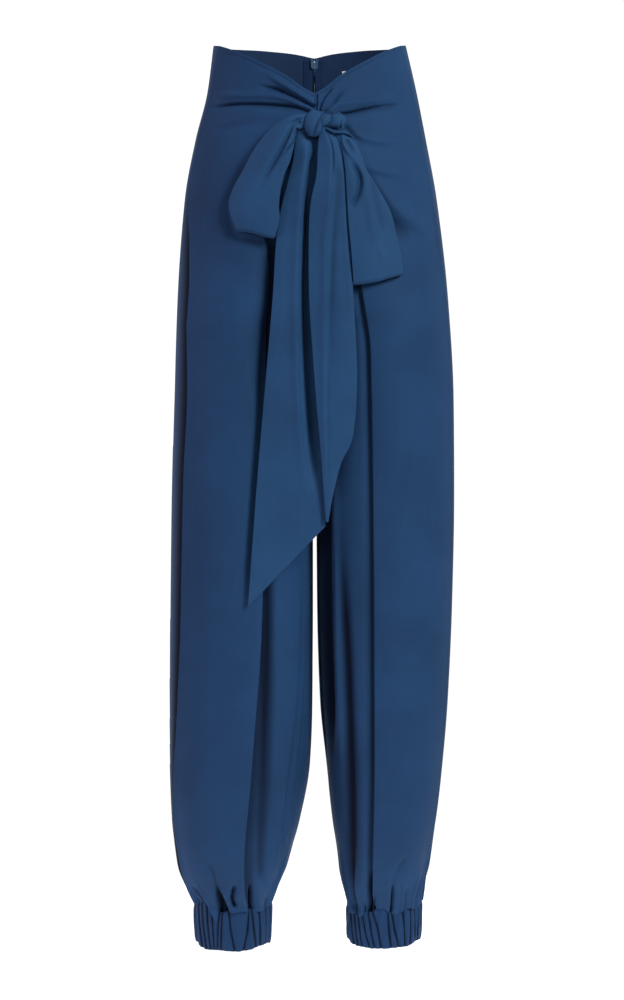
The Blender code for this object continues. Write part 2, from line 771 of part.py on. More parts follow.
def build():
    """Make every piece of the trousers."""
    for old in list(bpy.data.objects):
        bpy.data.objects.remove(old, do_unlink=True)
    for name, side in (("right", -1), ("left", 1)):
        add_panel("front_" + name, side, True)
        add_panel("back_" + name, side, False)
        add_cuff("cuff_" + name, side)
    add_tail("tie_tail_right", TAIL_RIGHT, 3.1, 5.0, 13)
    add_tail("tie_tail_left", TAIL_LEFT, 9.8, 10.5, 14)
    add_loop("bow_loop_right", LOOP_RIGHT)
    add_loop("bow_loop_left", LOOP_LEFT)
    for name, table, sides, ridges, turn in KNOT_PIECES:
        add_lump(name, table, sides, ridges, turn)
    add_zip()
    label_offset = CLOTH / 2 + INSIDE_SEAT + LABEL_CLOTH / 2
    label = back_patch(1, LABEL_ACROSS, LABEL_DROPS, 5, 3, label_offset)
    add_patch("label", label, LABEL_CLOTH, (228, 230, 232))


build()
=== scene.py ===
"""Dress the trousers: crepe legs with drape folds and pleats, gathered cuffs, a tied bow.

Sizes are millimetres until a mesh is made, X runs to the wearer's left, -Y is the front
and drop is the distance below the side corners of the waist. Places that come from the
photograph are its pixels, 624 wide and 1000 high, and PhotoView turns them into the frame.
"""

import logging
import math
from collections.abc import Callable
from dataclasses import dataclass
from enum import Enum
from functools import partial

import bmesh
import bpy
import numpy as np
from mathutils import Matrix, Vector


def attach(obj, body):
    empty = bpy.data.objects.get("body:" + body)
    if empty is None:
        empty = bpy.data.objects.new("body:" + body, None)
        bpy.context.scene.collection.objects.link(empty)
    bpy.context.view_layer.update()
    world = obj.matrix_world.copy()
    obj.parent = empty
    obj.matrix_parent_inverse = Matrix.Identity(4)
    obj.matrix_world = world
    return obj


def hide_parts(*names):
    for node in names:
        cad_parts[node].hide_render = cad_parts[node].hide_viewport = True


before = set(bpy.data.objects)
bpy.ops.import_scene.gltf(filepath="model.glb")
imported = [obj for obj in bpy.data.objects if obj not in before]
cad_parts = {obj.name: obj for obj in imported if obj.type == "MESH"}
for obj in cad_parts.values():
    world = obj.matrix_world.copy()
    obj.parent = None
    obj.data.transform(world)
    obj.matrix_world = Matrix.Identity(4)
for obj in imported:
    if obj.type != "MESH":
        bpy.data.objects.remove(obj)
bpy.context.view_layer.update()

Array = np.ndarray
Material = bpy.types.Material
Object = bpy.types.Object
Socket = bpy.types.NodeSocket

MM = 0.001
GARMENT = "garment"
PULL = "pull"
log = logging.getLogger("trousers")


class Side(Enum):
    """The wearer's side that a piece is on."""

    RIGHT = -1
    LEFT = 1

    @property
    def word(self) -> str:
        """The side's name as the pieces use it."""
        return self.name.lower()


class Slot(Enum):
    """The record's material slots."""

    MAIN = "main_cloth"
    CUFF = "cuff_cloth"
    BOW = "bow_cloth"
    TAPE = "zip_tape"
    LABEL = "label_cloth"


class Hold(Enum):
    """How a sheet of cloth is held."""

    DRAPED = "draped"
    HUNG = "hung"
    GATHERED = "gathered"
    LAID = "laid"


def ease(value: Array) -> Array:
    """Go smoothly from 0 to 1."""
    value = np.clip(value, 0.0, 1.0)
    return value * value * (3 - 2 * value)


def power(value: Array, exponent: float) -> Array:
    """Raise a value to a power and keep its sign."""
    return np.sign(value) * np.abs(value) ** exponent


def unit(vectors: Array) -> Array:
    """Scale vectors to a length of one."""
    return vectors / np.maximum(np.linalg.norm(vectors, axis=-1, keepdims=True), 1e-9)


def linear(colour: tuple[float, float, float]) -> tuple[float, float, float, float]:
    """Turn a colour as seen, 0 to 255, into the shader's linear values."""
    return tuple((part / 255) ** 2.2 for part in colour) + (1.0,)


def smooth_path(points: tuple, count: int) -> Array:
    """Run a smooth curve through points, evenly spaced along its length.

    Args:
        points: the places that the curve passes, all with the same number of values.
        count: how many points to give.

    Returns:
        The curve, one row a point.
    """
    places = np.array(points, dtype=float)
    if len(places) == 2:
        return places[0] + (places[1] - places[0]) * np.linspace(0, 1, count)[:, None]
    padded = np.concatenate([2 * places[:1] - places[1:2], places, 2 * places[-1:] - places[-2:-1]])
    dense = []
    for i in range(len(places) - 1):
        a, b, c, d = padded[i:i + 4]
        t = np.linspace(0, 1, 12, endpoint=False)[:, None]
        curve = 2 * b + (c - a) * t + (2 * a - 5 * b + 4 * c - d) * t ** 2
        dense.append((curve + (3 * b - a - 3 * c + d) * t ** 3) / 2)
    line = np.concatenate(dense + [places[-1:]])
    along = np.concatenate([[0], np.cumsum(np.linalg.norm(np.diff(line, axis=0), axis=1))])
    at = np.linspace(0, along[-1], count)
    return np.stack([np.interp(at, along, line[:, k]) for k in range(line.shape[1])], axis=1)


@dataclass(frozen=True)
class SizeTable:
    """A table of sizes, read on a curve that does not overshoot.

    Args:
        names: the columns, the first of which is the one that the others are read by.
        rows: the sizes.
    """

    names: tuple
    rows: tuple

    def read(self, name: str, at: Array) -> Array:
        """Read one column.

        Args:
            name: the column.
            at: values of the first column.

        Returns:
            The sizes there.
        """
        rows = np.array(self.rows, dtype=float)
        x = rows[:, 0]
        y = rows[:, self.names.index(name)]
        step = np.diff(x)
        rise = np.diff(y) / step
        slope = np.zeros(len(x))
        same_way = rise[1:] * rise[:-1] > 0
        total = np.where(same_way, rise[1:] + rise[:-1], 1.0)
        slope[1:-1] = np.where(same_way, 2 * rise[1:] * rise[:-1] / total, 0.0)
        slope[0] = rise[0]
        slope[-1] = rise[-1]
        at = np.clip(np.asarray(at, dtype=float), x[0], x[-1])
        i = np.clip(np.searchsorted(x, at, side="right") - 1, 0, len(x) - 2)
        t = (at - x[i]) / step[i]
        start = y[i] * (1 + 2 * t) * (1 - t) ** 2 + step[i] * slope[i] * t * (1 - t) ** 2
        end = y[i + 1] * t ** 2 * (3 - 2 * t) + step[i] * slope[i + 1] * t ** 2 * (t - 1)
        return start + end


@dataclass(frozen=True)
class PhotoView:
    """The photograph's camera, in metres, and its pixels.

    Args:
        place: where the camera stands.
        aim: the point in the middle of the picture.
        reach: the focal length in pixels.
        size: the picture's width and height in pixels.
        sensor: the sensor's height in millimetres.
    """

    place: tuple = (-0.003, -3.2, -0.3396)
    aim: tuple = (-0.003, 0.0, -0.5436)
    reach: float = 2672.0
    size: tuple = (624, 1000)
    sensor: float = 36.0

    def axes(self) -> tuple:
        """Give the camera's forward, right and up directions."""
        forward = unit(np.array(self.aim) - np.array(self.place))
        right = np.array([1.0, 0.0, 0.0])
        return forward, right, np.cross(right, forward)

    def pixels(self, points: Array) -> tuple:
        """Give the pixels where points in millimetres are seen.

        Args:
            points: the points, X, Y and Z in the last axis.

        Returns:
            The pixels' columns and rows.
        """
        forward, right, up = self.axes()
        away = points * MM - np.array(self.place)
        depth = away @ forward
        column = self.size[0] / 2 + self.reach * (away @ right) / depth
        return column, self.size[1] / 2 - self.reach * (away @ up) / depth

    def points(self, column: Array, row: Array, y: Array) -> Array:
        """Give the points in millimetres that pixels show at a depth.

        Args:
            column: the pixels' columns.
            row: the pixels' rows.
            y: the depth, as Y in millimetres.

        Returns:
            The points, X, Y and Z in the last axis.
        """
        forward, right, up = self.axes()
        across = (np.asarray(column, dtype=float) - self.size[0] / 2)[..., None]
        high = (self.size[1] / 2 - np.asarray(row, dtype=float))[..., None]
        ray = forward * self.reach + right * across + up * high
        share = (np.asarray(y, dtype=float) * MM - self.place[1]) / ray[..., 1]
        return (np.array(self.place) + ray * share[..., None]) / MM

    def add_camera(self) -> None:
        """Stand the camera where the photograph was taken."""
        data = bpy.data.cameras.new("photo_camera")
        data.sensor_fit = "VERTICAL"
        data.sensor_height = self.sensor
        data.sensor_width = self.sensor
        data.lens = self.reach * self.sensor / self.size[1]
        data.clip_start = 0.05
        data.clip_end = 50
        camera = bpy.data.objects.new("photo_camera", data)
        camera.location = self.place
        aim = Vector(self.aim) - Vector(self.place)
        camera.rotation_euler = aim.to_track_quat("-Z", "Y").to_euler()
        bpy.context.scene.collection.objects.link(camera)
        bpy.context.scene.camera = camera


@dataclass(frozen=True)
class Fold:
    """One fold in the cloth, drawn on the photograph.

    Args:
        path: its pixels from start to end.
        height: how far it stands out in millimetres, negative for a groove.
        widths: its spread in pixels, first on the viewer's left of a path that runs
            down and below one that runs to the right, then on the other side.
        fades: the shares of its length over which it starts and ends.
    """

    path: tuple
    height: float
    widths: tuple
    fades: tuple

    def heights(self, column: Array, row: Array) -> Array:
        """Give the fold's height at pixels."""
        line = smooth_path(self.path, 8 * len(self.path) + 1)
        reach = 3 * max(self.widths)
        low, high = line.min(axis=0) - reach, line.max(axis=0) + reach
        near = (column > low[0]) & (column < high[0]) & (row > low[1]) & (row < high[1])
        result = np.zeros(column.shape)
        if not near.any():
            return result
        place = np.stack([column[near], row[near]], axis=-1)
        start, way = line[:-1], np.diff(line, axis=0)
        from_start = place[:, None, :] - start[None]
        share = np.clip((from_start * way).sum(axis=-1) / (way ** 2).sum(axis=-1), 0, 1)
        gap = from_start - share[..., None] * way
        away = np.linalg.norm(gap, axis=-1)
        nearest = away.argmin(axis=1)
        pick = np.arange(len(place)), nearest
        away = away[pick]
        turn = way[nearest, 0] * from_start[pick][:, 1] - way[nearest, 1] * from_start[pick][:, 0]
        width = np.where(turn > 0, self.widths[0], self.widths[1])
        along = (nearest + share[pick]) / len(way)
        fade = np.ones(len(place))
        for length, fading in ((along, self.fades[0]), (1 - along, self.fades[1])):
            if fading > 0:
                fade *= ease(length / fading)
        result[near] = self.height * fade * np.exp(-(away / width) ** 2)
        return result


def folds(*rows: tuple) -> tuple:
    """Read folds from rows of numbers.

    Args:
        rows: each fold's height, its two widths and its two fades, then the column and
            the row of each of its pixels.

    Returns:
        The folds.
    """
    return tuple(Fold(tuple(zip(row[5::2], row[6::2])), row[0], row[1:3], row[3:5]) for row in rows)


def fold_heights(laid: tuple, column: Array, row: Array) -> Array:
    """Add up the heights of folds at pixels."""
    total = np.zeros(np.shape(column))
    for fold in laid:
        total += fold.heights(column, row)
    return total


@dataclass(frozen=True)
class BodyForm:
    """The hollow form that the worn cloth takes: a body ring that parts into two legs.

    Args:
        crotch_drop: the drop where the legs part.
        seat_start: the drop where the ring starts to part.
        hem_drop: the drop where the cuffs start.
        roundness: the ring's power, 2 for an ellipse and more for a squarer ring.
        seat_curve: how late the ring parts.
        seam_gap: the gap between neighbouring panels.
        gathered_seam: how much wider it is where the cloth is gathered.
        seam_turn: how far forward of the side the side seams run, in degrees.
        sizes: the outer and inner half widths and the depths, by drop.
    """

    crotch_drop: float = 335.0
    seat_start: float = 150.0
    hem_drop: float = 1030.0
    roundness: float = 2.2
    seat_curve: float = 1.9
    seam_gap: float = 0.3
    gathered_seam: float = 0.8
    seam_turn: SizeTable = SizeTable(
        ("drop", "right", "left"),
        (
            (0, 24, 24), (80, 20, 24), (150, 18, 24), (190, 20, 24), (235, 28, 24),
            (305, 37, 24), (425, 42, 24), (510, 39, 24), (690, 37, 24), (805, 31, 24),
            (895, 23, 24), (960, 23, 24), (1030, 24, 24),
        ),
    )
    sizes: SizeTable = SizeTable(
        ("drop", "right", "left", "right_inner", "left_inner", "front", "back"),
        (
            (0, 119, 107, 2, 2, 90, 92),
            (60, 127, 121, 2, 2, 93, 92.5),
            (115, 141, 132, 2, 2, 99, 101),
            (185, 154, 145, 2, 2, 104, 108),
            (305, 163, 159, 2, 2, 105, 110),
            (425, 167, 166, 2, 2, 99, 106),
            (545, 170, 167, 2, 3, 94, 101),
            (665, 172, 165, 2, 4, 90, 96),
            (785, 173, 160, 3, 8, 87, 92),
            (860, 173, 154, 6, 15, 84, 88),
            (930, 171, 146, 18, 22, 78, 82),
            (980, 164, 135.5, 33, 30, 68, 71),
            (1005, 157, 131.5, 42, 33, 57, 60),
            (1030, 146, 130, 51, 38, 41, 42),
        ),
    )

    def ring(self, side: Array, drop: Array) -> tuple:
        """Give a side's ring at a drop.

        Args:
            side: -1 for the wearer's right and 1 for the left.
            drop: distance below the waist.

        Returns:
            The half width, the centre, and the depths to the front and the back.
        """
        read = self.sizes.read
        outer = np.where(side < 0, read("right", drop), read("left", drop))
        inner = np.where(side < 0, read("right_inner", drop), read("left_inner", drop))
        span = self.crotch_drop - self.seat_start
        part = np.clip((drop - self.seat_start) / span, 0, 1) ** self.seat_curve
        half = (outer - inner * part) / (1 + part)
        return half, outer - half, read("front", drop), read("back", drop)

    def angle_at(self, side: int, drop: Array, across: Array) -> Array:
        """Give the ring's angle at a distance from the centre line, 0 at the outer edge."""
        half, centre, _, _ = self.ring(side, drop)
        return np.arccos(np.clip(power((across - centre) / half, self.roundness / 2), -1, 1))

    def skin(self, side: int, drop: Array, angle: Array, out: Array) -> Array:
        """Give points of the ring, moved out along its normal.

        Args:
            side: -1 or 1.
            drop: the points' drops.
            angle: the points' angles, negative on the front and positive on the back.
            out: how far they stand out.

        Returns:
            The points.
        """
        half, centre, front, back = self.ring(side, drop)
        depth = np.where(angle < 0, front, back)
        cos, sin = np.cos(angle), np.sin(angle)
        x = centre + half * power(cos, 2 / self.roundness)
        y = depth * power(sin, 2 / self.roundness)
        normal_x = power(cos, 2 - 2 / self.roundness) / half
        normal_y = power(sin, 2 - 2 / self.roundness) / depth
        size = np.hypot(normal_x, normal_y)
        x = x + out * normal_x / size
        y = y + out * normal_y / size
        return np.stack([side * x, y, -drop], axis=-1)

    def arc_radius(self, side: int, drop: Array, angle: Array) -> Array:
        """Give the length of arc for each radian at an angle of the ring."""
        half, _, front, back = self.ring(side, drop)
        depth = np.where(angle < 0, front, back)
        return np.hypot(half * np.sin(angle), depth * np.cos(angle))

    def end_angle(self, side: int, drop: Array, edge: Array, depth_name: str) -> Array:
        """Give the angle where a panel meets the centre seam, or the inseam lower down."""
        depth = self.sizes.read(depth_name, drop)
        inseam = math.pi - np.arcsin((self.seam_gap / 2 / depth) ** (self.roundness / 2))
        return np.minimum(self.angle_at(side, drop, edge), inseam)

    def seam_angle(self, side: int, drop: Array, way: int) -> Array:
        """Give the side seam's angle, half a gap to the front (-1) or the back (1)."""
        turn = -np.radians(self.seam_turn.read(Side(side).word, drop))
        gap = self.seam_gap + self.gathered_seam * ease((drop - 925) / 60)
        return turn + way * gap / 2 / self.arc_radius(side, drop, turn)

    def front_depth(self, x: Array, drop: Array) -> Array:
        """Give how far forward cloth on the front hangs, also across the crotch."""
        half, centre, front, _ = self.ring(np.where(x < 0, -1, 1), drop)
        reach = np.clip((np.abs(x) - centre) / half, 0, 0.98)
        return front * (1 - reach ** self.roundness) ** (1 / self.roundness)

    def in_front(self, view: PhotoView, column: Array, row: Array, away: Array) -> Array:
        """Place pixels in front of the form.

        Args:
            view: the photograph's camera.
            column: the pixels' columns.
            row: the pixels' rows.
            away: how far in front of the cloth they are.

        Returns:
            The points.
        """
        y = np.full(np.shape(column), -110.0)
        for _ in range(4):
            spot = view.points(column, row, y)
            y = -(self.front_depth(spot[..., 0], -spot[..., 2]) + away)
        return view.points(column, row, y)


def shaded(colour: tuple, share: float, more: float = 0.0) -> tuple:
    """Make a linear colour darker or lighter, up to white."""
    return tuple(min(1.0, part * share + more) for part in colour[:3]) + (1.0,)


class NodeBench:
    """A small bench for wiring a material's nodes."""

    def __init__(self, name: str) -> None:
        """Start a material and keep its shader."""
        self.material = bpy.data.materials.new(name)
        self.material.use_nodes = True
        self.tree = self.material.node_tree
        self.shader = self.tree.nodes["Principled BSDF"]

    def add(self, kind: str, values: dict, **settings: object) -> bpy.types.Node:
        """Add a node.

        Args:
            kind: the node's type.
            values: numbers for its sockets, and other sockets to link to them.
            settings: its own settings.

        Returns:
            The node.
        """
        node = self.tree.nodes.new(kind)
        for key, value in settings.items():
            setattr(node, key, value)
        for key, value in values.items():
            self.put(node.inputs[key], value)
        return node

    def put(self, socket: Socket, value: object) -> None:
        """Set a socket's number, or link another socket to it.

        Args:
            socket: the socket.
            value: a number, a colour or another socket.
        """
        if isinstance(value, Socket):
            self.tree.links.new(value, socket)
        else:
            socket.default_value = value

    def place(self) -> Socket:
        """Give the piece's own coordinates."""
        return self.add("ShaderNodeTexCoord", {}).outputs["Object"]

    def texture(self, kind: str, values: dict, **settings: object) -> Socket:
        """Add a texture in the piece's own coordinates."""
        node = self.add(f"ShaderNodeTex{kind}", {"Vector": self.place(), **values}, **settings)
        return node.outputs[0]

    def blend(self, share: object, first: object, second: object) -> Socket:
        """Blend two colours by a share."""
        return self.add("ShaderNodeMix", {0: share, 6: first, 7: second}, data_type="RGBA").outputs[2]

    def span(self, value: object, low: float, high: float, to_low: float, to_high: float) -> Socket:
        """Map a range of values to another."""
        values = {0: value, 1: low, 2: high, 3: to_low, 4: to_high}
        return self.add("ShaderNodeMapRange", values).outputs[0]

    def bump(self, height: Socket, strength: float, distance: float) -> Socket:
        """Press a height into the surface."""
        values = {"Height": height, "Strength": strength, "Distance": distance}
        return self.add("ShaderNodeBump", values).outputs[0]

    def finish(self, sockets: dict) -> Material:
        """Set or link the shader's sockets, and give the material."""
        for name, value in sockets.items():
            self.put(self.shader.inputs[name], value)
        return self.material


@dataclass(frozen=True)
class CrepeFinish:
    """Crepe cloth: a fine pebbled grain, a soft bloom, faintly uneven dye, and painted shade in its
    creases.

    Args:
        name: the material's name.
        colour: the cloth's colour as seen.
        deep: the painted shade colour that creases and recesses are darkened towards.
        bloom: how strong its sheen is.
        grain: how many grains of the weave there are to a metre.
        relief: how high the grain stands, in metres.
    """

    name: str
    colour: tuple
    deep: tuple
    bloom: float = 0.06
    grain: float = 1500.0
    relief: float = 0.00012

    def material(self) -> Material:
        """Make the material."""
        bench = NodeBench(self.name)
        cloud = bench.texture("Noise", {"Scale": 11.0, "Detail": 4.0, "Roughness": 0.55})
        long_way = bench.add("ShaderNodeMapping", {"Vector": bench.place(), "Scale": (260.0, 260.0, 34.0)})
        streak = bench.texture("Noise", {"Vector": long_way.outputs[0], "Scale": 1.0, "Detail": 3.0})
        grain = bench.texture("Noise", {"Scale": self.grain, "Detail": 2.0})
        pebble = bench.texture("Voronoi", {"Scale": self.grain * 0.8})
        base = linear(self.colour)
        lighter = shaded(base, 1.17)
        cloudy = bench.blend(bench.span(cloud, 0.3, 0.7, 0.0, 1.0), shaded(base, 0.84), lighter)
        streaky = bench.blend(bench.span(streak, 0.35, 0.65, 0.0, 0.22), cloudy, lighter)
        # Painted shade: a per-point attribute, set by each piece in creases and recesses, darkens the base
        # colour towards the deep colour.
        crease = bench.add("ShaderNodeAttribute", {}, attribute_name="crease").outputs["Fac"]
        rise = bench.add("ShaderNodeMath", {0: grain, 1: pebble}, operation="ADD")
        return bench.finish({
            "Base Color": bench.blend(crease, streaky, linear(self.deep)),
            "Normal": bench.bump(rise.outputs[0], 0.35, self.relief),
            "Roughness": 0.72,
            "Specular IOR Level": 0.12,
            "Sheen Weight": self.bloom,
            "Sheen Roughness": 0.42,
            "Sheen Tint": (0.42, 0.6, 0.9, 1.0),
        })


@dataclass(frozen=True)
class TapeFinish:
    """Woven tape with fine ribs, for the zip and the label.

    Args:
        name: the material's name.
        colour: the tape's colour as seen.
        ribs: how many ribs there are to a metre.
        roughness: how rough it is.
        shine: how strong its highlights are.
    """

    name: str
    colour: tuple
    ribs: float = 900.0
    roughness: float = 0.8
    shine: float = 0.08

    def material(self) -> Material:
        """Make the material."""
        bench = NodeBench(self.name)
        wave = bench.texture("Wave", {"Scale": self.ribs, "Distortion": 0.4}, bands_direction="Z")
        cloud = bench.texture("Noise", {"Scale": 60.0, "Detail": 3.0})
        base = linear(self.colour)
        return bench.finish({
            "Base Color": bench.blend(cloud, shaded(base, 0.78), base),
            "Normal": bench.bump(wave, 0.4, 0.0001),
            "Roughness": self.roughness,
            "Specular IOR Level": self.shine,
        })


@dataclass(frozen=True)
class EnamelFinish:
    """Satin enamel over metal, worn a little brighter in places.

    Args:
        name: the material's name.
        colour: the enamel's colour as seen.
        roughness: how rough it is.
    """

    name: str
    colour: tuple
    roughness: float = 0.32

    def material(self) -> Material:
        """Make the material."""
        bench = NodeBench(self.name)
        cloud = bench.texture("Noise", {"Scale": 420.0, "Detail": 4.0})
        base = linear(self.colour)
        worn = bench.span(cloud, 0.45, 0.75, 0.0, 0.7)
        return bench.finish({
            "Base Color": bench.blend(worn, base, shaded(base, 1.5, 0.02)),
            "Roughness": bench.span(cloud, 0.3, 0.7, self.roughness - 0.06, self.roughness + 0.1),
            "Metallic": 0.75,
            "Coat Weight": 0.3,
        })


@dataclass(frozen=True)
class ThreadFinish:
    """Sewing thread, a twisted strand.

    Args:
        name: the material's name.
        colour: the thread's colour as seen.
    """

    name: str
    colour: tuple

    def material(self) -> Material:
        """Make the material."""
        bench = NodeBench(self.name)
        twist = bench.texture("Wave", {"Scale": 1600.0, "Distortion": 1.0})
        base = linear(self.colour)
        colour = bench.blend(twist, shaded(base, 0.7), base)
        return bench.finish({"Base Color": colour, "Roughness": 0.7, "Specular IOR Level": 0.1})


class Wardrobe:
    """The finishes of the trousers, each made once."""

    def __init__(self) -> None:
        """Make every finish."""
        # Each crepe's third colour is the painted shade that its creases are darkened towards.
        self.main = CrepeFinish("navy_crepe", (36, 64, 99), (5, 14, 34)).material()
        # The inside is a darker copy of the main crepe: partly the wrong side of the cloth, partly painted
        # shade for the inside of the trousers.
        self.inside = CrepeFinish("navy_crepe_inside_shaded", (30, 48, 76), (14, 24, 44), 0.02).material()
        self.cuff = CrepeFinish("gathered_crepe", (30, 55, 88), (3, 9, 24)).material()
        self.bow = CrepeFinish("bow_crepe", (40, 71, 107), (6, 18, 38), 0.08).material()
        self.tape = TapeFinish("zip_tape_weave", (32, 50, 79)).material()
        self.enamel = EnamelFinish("slider_enamel", (36, 60, 86)).material()
        self.ribbon = TapeFinish("label_ribbon", (226, 229, 233), 1400.0, 0.4, 0.4).material()
        self.thread = ThreadFinish("navy_thread", (30, 47, 76)).material()
        self.pale_thread = ThreadFinish("pale_thread", (205, 210, 216)).material()


def grid_quads(rows: int, columns: int, first: int, around: bool = False) -> Array:
    """List the quads of a grid of points.

    Args:
        rows: how many rows it has.
        columns: how many columns it has.
        first: the number of its first point.
        around: whether its last column joins its first.

    Returns:
        The quads, one a row.
    """
    across = np.arange(columns if around else columns - 1)
    i, j = np.meshgrid(np.arange(rows - 1), across, indexing="ij")
    k = (j + 1) % columns
    row, below = i * columns, (i + 1) * columns
    return np.stack([row + j, row + k, below + k, below + j], axis=-1).reshape(-1, 4) + first


def wall(outer: Array, inner: Array, around: bool = False) -> tuple:
    """Join an outer and an inner grid of points into one closed wall of cloth.

    Args:
        outer: the grid of the outside.
        inner: the grid of the inside.
        around: whether the grids close round their columns.

    Returns:
        The points and the faces.
    """
    rows, columns, _ = outer.shape
    count = rows * columns
    points = np.concatenate([outer.reshape(-1, 3), inner.reshape(-1, 3)])
    quads = [grid_quads(rows, columns, 0, around), grid_quads(rows, columns, count, around)[:, ::-1]]
    top = np.arange(columns)
    bottom = (rows - 1) * columns + top
    if around:
        rims = (np.append(top, top[:1]), np.append(bottom, bottom[:1])[::-1])
    else:
        left = np.arange(rows) * columns
        rims = (top, left + columns - 1, bottom[::-1], left[::-1])
    for rim in rims:
        a, b = rim[:-1], rim[1:]
        quads.append(np.stack([b, a, a + count, b + count], axis=-1))
    return points, np.concatenate(quads).tolist()


def two_faces(points: Array, thickness: float, outward: tuple) -> tuple:
    """Offset a grid of points to both sides.

    Args:
        points: the middle of the cloth.
        thickness: the cloth's thickness.
        outward: a direction out of its middle.

    Returns:
        The outside and the inside grids.
    """
    normal = unit(np.cross(np.gradient(points, axis=0), np.gradient(points, axis=1)))
    middle = points.shape[0] // 2, points.shape[1] // 6
    if np.dot(normal[middle], outward) < 0:
        normal = -normal
    return points + normal * thickness / 2, points - normal * thickness / 2


def add_piece(name: str, points: Array, faces: list, finish: Material, slot: Slot,
              crease: Array | None = None) -> Object:
    """Make one piece of the trousers, which rides on the garment.

    Args:
        name: the piece's name.
        points: its points in millimetres.
        faces: its faces, which may be of mixed sizes.
        finish: its material.
        slot: the material slot that it takes its finish from; not used.
        crease: how much painted shade darkens each point, from 0 to 1.

    Returns:
        The piece.
    """
    mesh = bpy.data.meshes.new(name)
    mesh.from_pydata((points * MM).tolist(), [], faces)
    work = bmesh.new()
    work.from_mesh(mesh)
    bmesh.ops.recalc_face_normals(work, faces=work.faces)
    work.to_mesh(mesh)
    work.free()
    mesh.shade_smooth()
    mesh.set_sharp_from_angle(angle=math.radians(50))
    # Painted shade: stored per point, for the cloth's colour to darken towards its shade colour.
    if crease is not None:
        layer = mesh.attributes.new("crease", "FLOAT", "POINT")
        layer.data.foreach_set("value", np.clip(crease, 0, 1).astype(np.float32))
    mesh.materials.append(finish)
    piece = bpy.data.objects.new(name, mesh)
    bpy.context.scene.collection.objects.link(piece)
    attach(piece, GARMENT)
    log.info("%s: %d points", name, len(points))
    return piece


def loft(rings: Array) -> tuple:
    """Join rings of points into a strand with closed ends.

    Args:
        rings: the rings from end to end, each with the same number of points.

    Returns:
        The points and the faces.
    """
    count, sides, _ = rings.shape
    last = (count - 1) * sides
    ends = [list(range(sides)), list(range(last, last + sides))[::-1]]
    return rings.reshape(-1, 3), grid_quads(count, sides, 0, True).tolist() + ends


def tube(path: Array, radius: float, sides: int) -> tuple:
    """Make a round strand along a path.

    Args:
        path: the points that it follows.
        radius: its radius.
        sides: how many sides it has.

    Returns:
        The points and the faces.
    """
    ahead = unit(np.gradient(path, axis=0))
    aside = unit(np.cross(ahead, np.array([0.31, 0.87, 0.38])))
    over = np.cross(ahead, aside)
    angle = np.linspace(0, 2 * math.pi, sides, endpoint=False)[None, :, None]
    reach = aside[:, None, :] * np.cos(angle) + over[:, None, :] * np.sin(angle)
    return loft(path[:, None, :] + radius * reach)


def join_shapes(shapes: list) -> tuple:
    """Put several shapes, each numbered from its own first point, into one."""
    points, faces, count = [], [], 0
    for shape_points, shape_faces in shapes:
        points.append(shape_points)
        faces += [[index + count for index in face] for face in shape_faces]
        count += len(shape_points)
    return np.concatenate(points), faces


